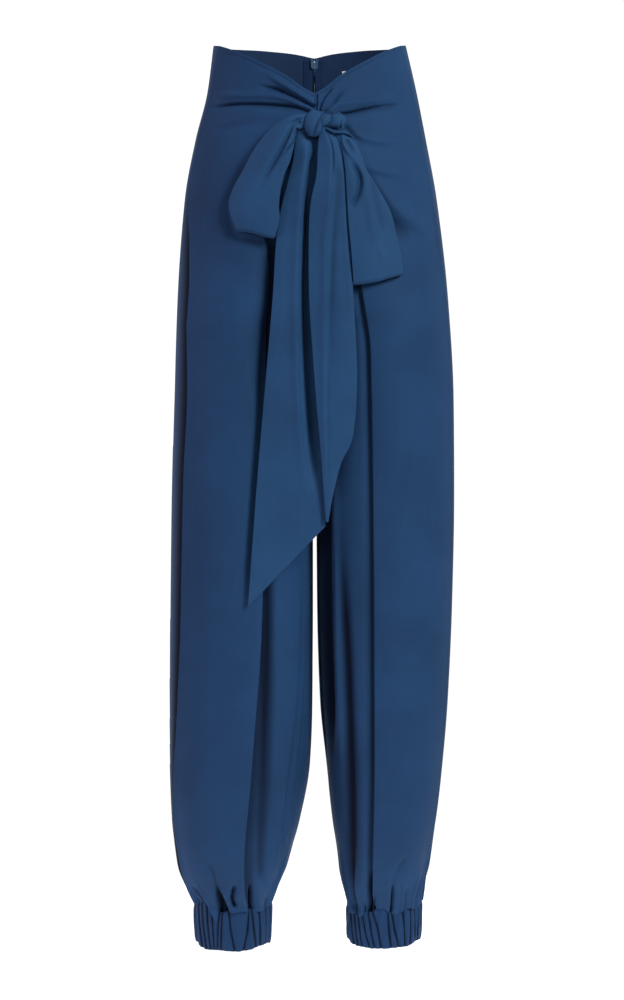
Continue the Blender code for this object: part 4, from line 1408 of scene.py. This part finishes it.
@dataclass(frozen=True)
class BowStrip:
    """A hanging strip of the bow, drawn by its two edges on the photograph.

    Args:
        name: the piece's name.
        node: the CAD node that it replaces.
        edges: pixel column and row of the first edge, then of the second edge.
        lifts: a share of its length, and how far it stands in front of the trousers
            there at the first edge, the middle and the second edge.
        folds: its folds.
        cut: its flat width and length in metres; not used.
        area: its flat area in square metres; not used.
        across: how many columns of points it has.
        along: how many rows of points it has.
        cloth: its thickness.
    """

    name: str
    node: str
    edges: tuple
    lifts: tuple
    folds: tuple
    cut: tuple
    area: float
    across: int = 56
    along: int = 150
    cloth: float = 1.1

    @staticmethod
    def trace(places: Array, at: Array) -> Array:
        """Run a curve through an edge's places, and read it between them.

        Args:
            places: the edge's pixels.
            at: the numbers of the places, with fractions.

        Returns:
            The curve's pixels there.
        """
        line = smooth_path(places, 400)
        marks, start = [], 0
        for place in places:
            start += int(np.linalg.norm(line[start:] - place, axis=1).argmin())
            marks.append(start)
        step = np.interp(at, np.arange(len(places)), marks)
        return np.stack([np.interp(step, np.arange(len(line)), line[:, k]) for k in (0, 1)], axis=-1)

    def layout(self) -> tuple:
        """Give the strip's pixel columns and rows, its shares across, and its shares along."""
        edges = np.array(self.edges, dtype=float)
        at = np.linspace(0, len(edges) - 1, self.along)
        first, second = self.trace(edges[:, :2], at), self.trace(edges[:, 2:], at)
        share = np.linspace(0, 1, self.across)[None, :]
        column = first[:, :1] + (second[:, :1] - first[:, :1]) * share
        row = first[:, 1:] + (second[:, 1:] - first[:, 1:]) * share
        return column, row, share, (at / (len(edges) - 1))[:, None]

    def lift(self, share: Array, length: Array) -> Array:
        """Give how far the strip stands off, from its edges and middle."""
        table = SizeTable(("length", "first", "middle", "last"), self.lifts)
        first, middle, last = (table.read(name, length) for name in table.names[1:])
        bend = 2 * (first + last) - 4 * middle
        return first + (last - first - bend) * share + bend * share ** 2

    @staticmethod
    def depth(rise: Array) -> Array:
        """Give how much painted shade darkens folded cloth in a crease, from 0 to 1."""
        return np.clip(-rise - 1.0, 0, 12) / 12

    def add(self, in_front: Callable, finish: Material) -> None:
        """Add the strip.

        Args:
            in_front: places pixels in front of the trousers.
            finish: its cloth.
        """
        column, row, share, length = self.layout()
        rise = fold_heights(self.folds, column, row)
        points = in_front(column, row, self.lift(share, length) + rise)
        self.sew(points, self.depth(rise), finish)

    def sew(self, points: Array, depth: Array, finish: Material) -> None:
        """Make the cloth, and hide the CAD part that it replaces.

        Args:
            points: the grid of points in the middle of the cloth.
            depth: how much painted shade darkens each point in a crease.
            finish: its cloth.
        """
        vertices, quads = wall(*two_faces(points, self.cloth, (0, -1, 0)))
        piece = add_piece(self.name, vertices, quads, finish, Slot.BOW, np.tile(depth.reshape(-1), 2))
        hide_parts(self.node)


@dataclass(frozen=True)
class BowLoop(BowStrip):
    """A hanging loop: a front layer, a round fold at the bottom and a back layer.

    Args:
        hem: a share across, and how far the bottom sags there in pixels.
        behind: how far its back layer stands off, at the neck and at the fold.
        turns: how many rows of points go round the fold.
    """

    hem: tuple = ((0, 0), (1, 0))
    behind: tuple = (7.0, 4.4)
    turns: int = 12

    def add(self, in_front: Callable, finish: Material) -> None:
        """Add the loop.

        Args:
            in_front: places pixels in front of the trousers.
            finish: its cloth.
        """
        column, row, share, length = self.layout()
        row = row + SizeTable(("share", "sag"), self.hem).read("sag", share) * length ** 3
        rise = fold_heights(self.folds, column, row)
        front = in_front(column, row, self.lift(share, length) + rise)
        middle = (column[:, :1] + column[:, -1:]) / 2
        inset = middle + (column - middle) * (0.9 + 0.07 * ease(length * 3 - 2))
        neck, fold = self.behind
        back = in_front(inset, row, neck + (fold - neck) * ease(length * 5) + 0 * share)
        end, reach = (front[-1] + back[-1]) / 2, (front[-1] - back[-1]) / 2
        down = 0.8 * np.linalg.norm(reach, axis=-1, keepdims=True) * np.array([0, 0, -1.0])
        angles = np.linspace(0, math.pi, self.turns + 2)[1:-1]
        turn = np.array([end + reach * math.cos(angle) + down * math.sin(angle) for angle in angles])
        # Painted shade: the front layer's creases, and the whole back layer as shade behind the front.
        depth = [self.depth(rise), np.zeros(turn.shape[:2]), 0.3 * np.ones(rise.shape)]
        self.sew(np.concatenate([front, turn, back[::-1]]), np.concatenate(depth), finish)


@dataclass(frozen=True)
class KnotLump:
    """One wound piece of the knot, a loft of rings along its length.

    Args:
        name: the piece's name.
        node: the CAD node that it replaces, if it does.
        rings: pixel column and row, stand-off, and the radii across and out in millimetres.
        folds: how many folds of cloth run along it, and their height as a share.
        twist: how far the folds turn round it from end to end, in radians.
        sides: how many points each ring has.
        along: how many rings it has.
    """

    name: str
    node: str
    rings: tuple
    folds: tuple
    twist: float
    sides: int = 72
    along: int = 60

    def add(self, in_front: Callable, finish: Material) -> None:
        """Add the lump.

        Args:
            in_front: places pixels in front of the trousers.
            finish: its cloth.
        """
        table = smooth_path(self.rings, self.along)
        table[:, 3:] = np.maximum(table[:, 3:], 0.05)
        path = in_front(table[:, 0], table[:, 1], table[:, 2])
        ahead = unit(np.gradient(path, axis=0))
        forward = np.array([0, -1.0, 0])
        out = unit(forward - ahead * (ahead @ forward)[:, None])
        aside = np.cross(ahead, out)
        angle = np.linspace(0, 2 * math.pi, self.sides, endpoint=False)[None, :]
        length = np.linspace(0, 1, self.along)[:, None]
        count, tall = self.folds
        turn = count * angle + self.twist * length
        rise = 1 + tall * (np.abs(np.sin(turn / 2)) ** 0.7 - 0.5)
        rise = rise + 0.4 * tall * np.sin(2.3 * turn + 5 * length)
        reach = aside[:, None, :] * (table[:, 3:4] * np.cos(angle))[..., None]
        reach = reach + out[:, None, :] * (table[:, 4:5] * np.sin(angle))[..., None]
        vertices, faces = loft(path[:, None, :] + reach * rise[..., None])
        # Painted shade in the hollows between the knot's folds.
        crease = np.clip((1 - rise) / tall * 0.8, 0, 0.8).reshape(-1)
        piece = add_piece(self.name, vertices, faces, finish, Slot.BOW, crease)
        if self.node:
            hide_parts(self.node)


BOW_PIECES = (
    BowStrip(
        "tail_cloth_right", "tie_tail_right",
        (
            (304, 117, 311, 118), (297, 130, 309.5, 133), (293.5, 160, 314, 160),
            (287.5, 185, 314.5, 185), (281, 211, 315, 208), (276, 245, 316, 240),
            (272.6, 300, 317.5, 290), (264, 400, 319.5, 375), (256.5, 490, 322.5, 455),
            (248, 607, 325.2, 526.5),
        ),
        (
            (0, 3.4, 3.6, 3.2), (0.12, 6, 8.4, 3), (0.35, 9, 10.5, 3), (0.6, 10, 11.5, 3.6),
            (0.85, 9, 10.4, 5), (1, 8, 8.4, 7),
        ),
        folds(
            (4.4, 6, 1.3, 0.05, 0.25, 309, 136, 307, 160, 303, 185, 300, 211, 298, 245, 296.5, 300,
             298, 380, 303, 460, 310, 512),
            (-8, 3, 6, 0.05, 0.25, 313, 150, 308, 190, 306, 230, 303.5, 300,
             306, 380, 311, 450, 317, 505),
        ),
        (0.1, 0.6), 0.036,
    ),
    BowStrip(
        "tail_cloth_left", "tie_tail_left",
        (
            (320, 124, 329, 123), (319.5, 133, 336, 136), (318, 150, 342, 150), (316.5, 176, 345.5, 180),
            (311, 202, 347, 205), (309, 235, 349.5, 238), (309.5, 300, 353.5, 300),
            (314.5, 375, 357, 375), (319.5, 435, 353, 435), (322, 463, 341, 463), (324, 494, 333, 494),
            (326, 522, 328, 522),
        ),
        (
            (0, 9, 10, 9), (0.15, 13.5, 17, 13), (0.4, 16, 19, 15), (0.7, 16, 18, 14),
            (1, 13, 13.5, 12.5),
        ),
        folds(
            (2.6, 5, 1.2, 0.02, 0.2, 324, 128, 330.8, 148, 331.4, 176, 328.4, 212, 326, 240, 325, 300,
             324.5, 380, 325, 440, 326, 495),
            (-2.4, 3, 5, 0.1, 0.5, 334, 150, 335.5, 185, 333.5, 220, 331, 260, 329.5, 320, 329, 400),
            (-2.6, 1, 1.2, 0.03, 0.5, 324.8, 129, 328.8, 138.5, 332.2, 149, 332.8, 166, 331, 196),
            (1.2, 3, 3, 0.2, 0.4, 341, 146, 344, 180, 345, 220, 349, 280, 352, 340),
        ),
        (0.075, 0.49), 0.022,
    ),
    BowLoop(
        "loop_cloth_right", "bow_loop_right",
        (
            (308, 114.6, 307, 127), (299, 114.4, 300, 128.5), (289, 117, 296.5, 131),
            (275, 125.5, 294.8, 139), (263, 137.5, 292.7, 150), (252, 153, 289.5, 162),
            (243.5, 170, 284.5, 173), (234, 187, 280.5, 189), (229, 203, 279, 206),
            (231.5, 218, 279.5, 219), (236, 228, 276, 232.5),
        ),
        (
            (0, 11, 12, 11), (0.15, 13, 17.5, 13), (0.4, 13, 20.5, 15), (0.7, 13, 20, 16),
            (0.9, 13, 18, 15), (1, 12.5, 16, 14),
        ),
        folds(
            (-4.6, 3.2, 2.6, 0.05, 0.45, 303, 122.6, 297, 122.8, 293, 125.4, 289, 133, 282.5, 147,
             273, 165, 264, 180, 254, 196),
            (1.8, 6, 4, 0.1, 0.4, 298, 121, 288, 130, 278, 145, 266, 163, 252, 184),
            (-3.4, 1.3, 1.3, 0.05, 0.5, 297, 127, 295, 136, 291.5, 144, 285, 152, 276, 159),
            (1.5, 1.1, 1.1, 0.1, 0.4, 294.6, 126, 292, 134, 288.4, 141.6, 284, 149),
            (2.2, 3.6, 3, 0.1, 0.5, 297, 133, 291, 148, 284, 162, 276, 180),
            (-2, 1.6, 1.6, 0.1, 0.6, 304, 118, 296, 120, 286, 126, 276, 136),
        ),
        (0.075, 0.25), 0.0175, across=60, along=110,
        hem=((0, 0), (0.35, -1.2), (0.7, 1.2), (0.92, 2.4), (1, 0.5)),
    ),
    BowLoop(
        "loop_cloth_left", "bow_loop_left",
        (
            (342, 129, 334, 132), (348.5, 133.5, 338.5, 141), (354.5, 141.5, 342.5, 152),
            (361.5, 155.6, 345, 166), (366, 169, 346.3, 182), (377.6, 188, 347.5, 205),
            (390, 211, 349, 226), (396.5, 236.5, 351, 247), (401.5, 259, 352.5, 266),
            (403.2, 273, 353.4, 280),
        ),
        (
            (0, 12, 12, 11), (0.2, 13, 18, 16), (0.45, 12, 20, 19), (0.75, 12, 19.5, 20), (1, 12, 17, 17),
        ),
        folds(
            (-5.2, 2.4, 4.6, 0.25, 0.3, 349, 157, 354.4, 167, 359.2, 180, 358, 192, 353, 203, 349, 214),
            (-3.6, 2.4, 3, 0.2, 0.4, 345.5, 138, 348.4, 144.6, 352.6, 151, 357, 156.5),
            (2.4, 1.3, 1.6, 0.05, 0.4, 342.6, 134, 342.9, 141, 345.6, 148, 350.4, 155, 357, 161),
            (-1.8, 0.9, 1, 0.15, 0.4, 345.6, 134.6, 351, 138.4, 355.6, 144),
            (3, 3.6, 4, 0.3, 0.4, 353, 154, 358.5, 163, 364, 178, 363, 194, 357, 210),
            (3.2, 5, 1.3, 0.1, 0.35, 364.5, 166, 368, 187, 371, 210, 374, 232, 378.5, 247),
            (-3.4, 3, 7, 0.15, 0.4, 369.5, 176, 375, 200, 381, 225, 386, 246),
            (1.2, 2.5, 2.5, 0.3, 0.5, 378, 246, 382, 256, 384, 266),
        ),
        (0.078, 0.27), 0.019, across=60, along=110, hem=((0, -1.5), (0.3, -0.6), (0.6, 0.8), (1, 0.6)),
    ),
    KnotLump(
        "knot_ball", "knot",
        (
            (319.4, 112.4, 11.4, 0.2, 0.2), (318.6, 113.6, 12, 6.6, 4.6), (316.8, 116.6, 12.8, 10.4, 7.4),
            (315, 120.6, 13, 11.6, 8.8), (314, 125.4, 12.6, 11.4, 8.8), (313.6, 130, 11.6, 9.8, 7.8),
            (313.4, 133.6, 10.6, 7.4, 6.2), (313.4, 136, 9.8, 4.6, 4.4), (313.4, 137.4, 9.4, 0.2, 0.2),
        ),
        (3, 0.055), 1.3,
    ),
    KnotLump(
        "knot_knob_cloth", "knot_knob",
        (
            (323.2, 126.4, 10, 0.2, 0.2), (326, 125.6, 10.6, 2.8, 3), (329.5, 124.2, 11, 5.2, 5),
            (333, 122.8, 11.6, 7.6, 6.6), (336.6, 121.2, 12, 10, 7.6), (339.4, 121.6, 12, 9.8, 7.4),
            (341.4, 122.8, 11.6, 8.6, 6.2), (342.4, 123.8, 11, 6, 4.4), (342.9, 124.2, 10.6, 0.2, 0.2),
        ),
        (2, 0.05), 0.9,
    ),
    KnotLump(
        "knot_band_cloth", "knot_band",
        (
            (331.4, 115.8, 13, 0.2, 0.2), (329.8, 116.6, 15.6, 3, 2), (327.2, 118.2, 17.6, 4.6, 2.8),
            (324.6, 120.8, 18.4, 4.8, 3), (323, 123.8, 17.6, 3.4, 2.6), (322.2, 126.4, 15.6, 1.8, 1.8),
            (322, 128, 14, 0.2, 0.2),
        ),
        (6, 0.13), 0.7, sides=40, along=40,
    ),
    KnotLump(
        "knot_rim_cloth", "",
        (
            (335.4, 113.6, 15, 0.2, 0.2), (337.4, 112.8, 16, 1, 1.3), (339.8, 114.6, 17.4, 1.2, 1.6),
            (341.6, 118, 18, 1.2, 1.6), (342.3, 123, 18, 1.2, 1.6), (342.4, 128, 17, 1.2, 1.6),
            (342.6, 132, 14.6, 1.1, 1.5), (342.6, 134, 12.6, 0.2, 0.2),
        ),
        (2, 0.1), 0.6, sides=20, along=50,
    ),
    KnotLump(
        "knot_wrap_cloth", "",
        (
            (325, 128.4, 13, 0.2, 0.2), (328.5, 129.6, 15, 1.1, 1.5), (332.4, 131, 17, 1.6, 2),
            (337, 132, 18, 1.7, 2), (342, 132, 18, 1.6, 2), (347, 133.4, 16.6, 1.4, 1.8),
            (350.5, 135.4, 15, 0.9, 1.4), (352.6, 137, 13.6, 0.2, 0.2),
        ),
        (3, 0.12), 0.8, sides=24, along=60,
    ),
)


@dataclass(frozen=True)
class Bow:
    """The bow: two ends, two loops and the knot.

    Args:
        form: the form that the trousers take.
        view: the photograph's camera.
    """

    form: BodyForm
    view: PhotoView

    def add(self, finish: Material) -> None:
        """Add every piece of the bow."""
        for piece in BOW_PIECES:
            piece.add(partial(self.form.in_front, self.view), finish)


@dataclass
class Zip:
    """The concealed zip at the centre back: tapes, coils, stitches, slider and pull.

    Args:
        form: the form that the trousers take.
        top, bottom: the drops of its ends.
        start: how far from the centre the tapes start.
        width, tape: the tapes' width and thickness.
        seat: how far inside the cloth they lie.
        pressed: how much closer to the cloth their outer edges lie.
        cloth: the thickness that the solids give the cloth.
        coil_pitch, coil_radius: the distance from tooth to tooth, and a tooth's radius.
        coil_top, coil_end: how far short of the ends of the tapes the coils stop.
        tooth: a tooth's shape, away from the centre, down and inwards.
        stitch: how far inwards the four points of a stitch lie.
    """

    form: BodyForm
    top: float = 11.5
    bottom: float = 180.0
    start: float = 1.1
    width: float = 12.0
    tape: float = 0.7
    seat: float = 0.8
    pressed: float = 0.65
    cloth: float = 1.2
    coil_pitch: float = 1.5
    coil_radius: float = 0.32
    coil_top: float = 14.0
    coil_end: float = 2.0
    tooth: tuple = (
        (-0.45, 0.5, 1.1, 0.5, -0.45), (-0.3, -0.32, 0.0, 0.32, 0.3), (0, 0.25, 0.1, 0.25, 0),
    )
    stitch: tuple = (-0.1, 0.12, 0.12, -0.1)

    def patch(self, side: Side, across: tuple, drops: tuple, counts: tuple, inwards: float) -> Array:
        """Lay out points inside the back.

        Args:
            side: the wearer's side.
            across: the two distances from the centre line.
            drops: the two drops.
            counts: how many columns and rows it has.
            inwards: how far inside the cloth's middle it lies.

        Returns:
            The grid of points.
        """
        x = np.linspace(*across, counts[0])[None, :]
        drop = np.linspace(*drops, counts[1])[:, None] + 0 * x
        angle = self.form.angle_at(side.value, drop, x + 0 * drop)
        return self.form.skin(side.value, drop, angle, -inwards)

    def add_strands(self, name: str, side: Side, strands: list, size: tuple,
                    thread: Material, slot: Slot) -> None:
        """Add short strands inside the back, as one piece.

        Args:
            name: the piece's name.
            side: the wearer's side.
            strands: for each strand its points' distances from the centre line, drops,
                and distances inside the cloth's middle.
            size: the strands' radius, and how many sides they have.
            thread: their finish.
            slot: their material slot.
        """
        shapes = []
        for across, drops, inwards in strands:
            angle = self.form.angle_at(side.value, drops, across)
            shapes.append(tube(self.form.skin(side.value, drops, angle, -inwards), *size))
        points, faces = join_shapes(shapes)
        add_piece(name, points, faces, thread, slot)

    def stitches(self, place: float, drops: Array, length: float, inwards: float) -> list:
        """Lay out a line of stitches.

        Args:
            place: the line's distance from the centre line.
            drops: the stitches' drops.
            length: a stitch's length.
            inwards: how far inside the cloth's middle it lies.

        Returns:
            The strands.
        """
        down, depth = np.linspace(0, length, 4), inwards + np.array(self.stitch)
        return [(np.full(4, place), drop + down, depth) for drop in drops]

    def add_tape(self, side: Side, inwards: float, finish: Material) -> None:
        """Add one tape, its outer edge pressed against the cloth.

        Args:
            side: the wearer's side.
            inwards: how far inside the cloth's middle it lies.
            finish: its weave.
        """
        pressed = inwards - self.pressed * ease((np.linspace(0, 1, 12)[None, :] - 0.7) / 0.3)
        across = (self.start, self.start + self.width)
        points = self.patch(side, across, (self.top, self.bottom), (12, 90), pressed)
        vertices, quads = wall(*two_faces(points, self.tape, (0, 1, 0)))
        piece = add_piece(f"zip_tape_cloth_{side.word}", vertices, quads, finish, Slot.TAPE)
        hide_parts(f"zip_tape_{side.word}")

    def coil(self, side: Side, inwards: float) -> list:
        """Lay out a row of the coil's teeth along a tape's inner edge.

        Args:
            side: the wearer's side.
            inwards: how far inside the cloth's middle it lies.

        Returns:
            The strands.
        """
        bite, down, depth = (np.array(part) for part in self.tooth)
        shift = 0.5 * self.coil_pitch if side is Side.LEFT else 0.0
        count = int((self.bottom - self.top - self.coil_top - self.coil_end) / self.coil_pitch)
        drops = [self.top + self.coil_top + i * self.coil_pitch for i in range(count)]
        return [(self.start + 0.3 - bite, drop + down + shift, inwards + depth) for drop in drops]

    def add(self, wardrobe: Wardrobe) -> None:
        """Add the tapes with their coils, and finish the slider and the pull.

        Args:
            wardrobe: the finishes.
        """
        inwards = self.cloth / 2 + self.seat + self.tape / 2
        surface = inwards + self.tape / 2
        for side in Side:
            self.add_tape(side, inwards, wardrobe.tape)
            coil = self.coil(side, surface + self.coil_radius)
            size = (self.coil_radius, 6)
            self.add_strands(f"zip_coil_{side.word}", side, coil, size, wardrobe.thread, Slot.TAPE)
            drops = np.arange(self.top + 3, self.bottom - 3, 3.0)
            seam = self.stitches(self.start + self.width * 0.62, drops, 2.1, surface + 0.1)
            self.add_strands(f"zip_stitches_{side.word}", side, seam, (0.2, 5), wardrobe.thread, Slot.TAPE)
        for node, body in (("zip_slider", GARMENT), ("zip_pull", PULL)):
            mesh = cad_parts[node].data
            mesh.materials.clear()
            mesh.materials.append(wardrobe.enamel)
            log.info("%s on the %s: enamel", node, body)


@dataclass
class Label:
    """The blank ribbon label inside the back.

    Args:
        zip: the zip that it lies beside.
        across: the distances of its ends from the centre line.
        drops: the drops of its edges.
        ribbon: its thickness.
        inset: how far inside its ends the stitches are.
    """

    zip: Zip
    across: tuple = (34.0, 58.0)
    drops: tuple = (25.0, 39.5)
    ribbon: float = 0.5
    inset: float = 1.2

    def add(self, wardrobe: Wardrobe) -> None:
        """Add the label and the stitches at its two ends.

        Args:
            wardrobe: the finishes.
        """
        (first, last), (top, bottom) = self.across, self.drops
        inwards = self.zip.cloth / 2 + self.zip.seat + self.ribbon / 2
        points = self.zip.patch(Side.LEFT, self.across, self.drops, (30, 18), inwards)
        vertices, quads = wall(*two_faces(points, self.ribbon, (0, 1, 0)))
        piece = add_piece("label_ribbon", vertices, quads, wardrobe.ribbon, Slot.LABEL)
        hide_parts("label")
        strands = []
        for place in (first + self.inset, last - self.inset):
            drops = np.arange(top + 1, bottom - 2, 2.2)
            strands += self.zip.stitches(place, drops, 1.5, inwards + self.ribbon / 2)
        thread = wardrobe.pale_thread
        self.zip.add_strands("label_stitches", Side.LEFT, strands, (0.16, 5), thread, Slot.LABEL)


@dataclass(frozen=True)
class Softbox:
    """One soft light.

    Args:
        name: its name.
        place: where it stands, in metres.
        size: its width and height.
        watts: its power.
        tint: its colour.
    """

    name: str
    place: tuple
    size: tuple
    watts: float
    tint: tuple

    def add(self, aim: tuple) -> None:
        """Add the light, facing a point."""
        data = bpy.data.lights.new(self.name, "AREA")
        data.shape = "RECTANGLE"
        data.size, data.size_y = self.size
        data.energy = self.watts
        data.color = self.tint
        light = bpy.data.objects.new(self.name, data)
        light.location = self.place
        light.rotation_euler = (Vector(aim) - Vector(self.place)).to_track_quat("-Z", "Y").to_euler()
        bpy.context.scene.collection.objects.link(light)


@dataclass
class Studio:
    """The round pale floor, the sky and the soft lights."""

    floor_drop: float = 1.16
    floor_radius: float = 0.8
    floor_sides: int = 96
    floor_glow: float = 0.72
    sky_front: float = 0.04
    sky_behind: float = 0.75
    sky_seen: float = 1.05
    aim: tuple = (0.0, 0.0, -0.55)
    lights: tuple = (
        Softbox("key_softbox", (1.9, -2.4, 1.3), (1.0, 1.3), 108.0, (0.94, 1.0, 1.0)),
        Softbox("front_softbox", (-0.6, -4.2, 0.6), (1.2, 1.2), 26.0, (1.0, 0.98, 1.0)),
        Softbox("fill_softbox", (-2.8, -0.8, 0.1), (1.0, 1.8), 30.0, (1.0, 0.82, 1.0)),
    )

    def add_floor(self) -> None:
        """Add the floor below the cuffs."""
        angle = np.linspace(0, 2 * math.pi, self.floor_sides, endpoint=False)
        radius = self.floor_radius
        rim = [(radius * math.cos(a), radius * math.sin(a), -self.floor_drop) for a in angle]
        mesh = bpy.data.meshes.new("studio_floor")
        mesh.from_pydata(rim, [], [list(range(self.floor_sides))])
        paper = {
            "Base Color": (0.86, 0.86, 0.865, 1.0), "Roughness": 0.95, "Specular IOR Level": 0.1,
            "Emission Color": (1.0, 1.0, 1.0, 1.0), "Emission Strength": self.floor_glow,
        }
        mesh.materials.append(NodeBench("pale_paper").finish(paper))
        floor = bpy.data.objects.new("studio_floor", mesh)
        bpy.context.scene.collection.objects.link(floor)

    def add_sky(self) -> None:
        """Add the sky, which looks white and gives a weak light."""
        world = bpy.data.worlds.new("studio_sky")
        bpy.context.scene.world = world
        world.use_nodes = True
        nodes, links = world.node_tree.nodes, world.node_tree.links
        path = nodes.new("ShaderNodeLightPath")
        place = nodes.new("ShaderNodeTexCoord")
        split = nodes.new("ShaderNodeSeparateXYZ")
        links.new(place.outputs["Generated"], split.inputs[0])
        glow = nodes.new("ShaderNodeMapRange")
        links.new(split.outputs["Y"], glow.inputs[0])
        strength = nodes.new("ShaderNodeMapRange")
        lit = (-0.35, 0.6, self.sky_front, self.sky_behind)
        for node, values in ((glow, lit), (strength, (0, 1, 0, self.sky_seen))):
            for index, value in enumerate(values, 1):
                node.inputs[index].default_value = value
        links.new(glow.outputs[0], strength.inputs[3])
        links.new(path.outputs["Is Camera Ray"], strength.inputs[0])
        links.new(strength.outputs[0], nodes["Background"].inputs["Strength"])
        nodes["Background"].inputs["Color"].default_value = (1.0, 1.0, 1.0, 1.0)

    def add(self) -> None:
        """Add the floor, the sky and the lights."""
        self.add_floor()
        self.add_sky()
        for light in self.lights:
            light.add(self.aim)
        view = bpy.context.scene.view_settings
        view.view_transform = "Standard"
        view.look = "None"


def main() -> None:
    """Build and dress the trousers, piece by piece."""
    logging.basicConfig(level=logging.INFO, format="%(name)s: %(message)s")
    view, form, wardrobe = PhotoView(), BodyForm(), Wardrobe()
    panels = LegPanels(form, view)
    for side in Side:
        for front in (True, False):
            panels.add(side, front, wardrobe.main, wardrobe.inside)
    for side in Side:
        Cuff(side, form, view).add(wardrobe.cuff)
    Bow(form, view).add(wardrobe.bow)
    zip_parts = Zip(form)
    zip_parts.add(wardrobe)
    Label(zip_parts).add(wardrobe)
    Studio().add()
    view.add_camera()


if __name__ == "__main__":
    main()
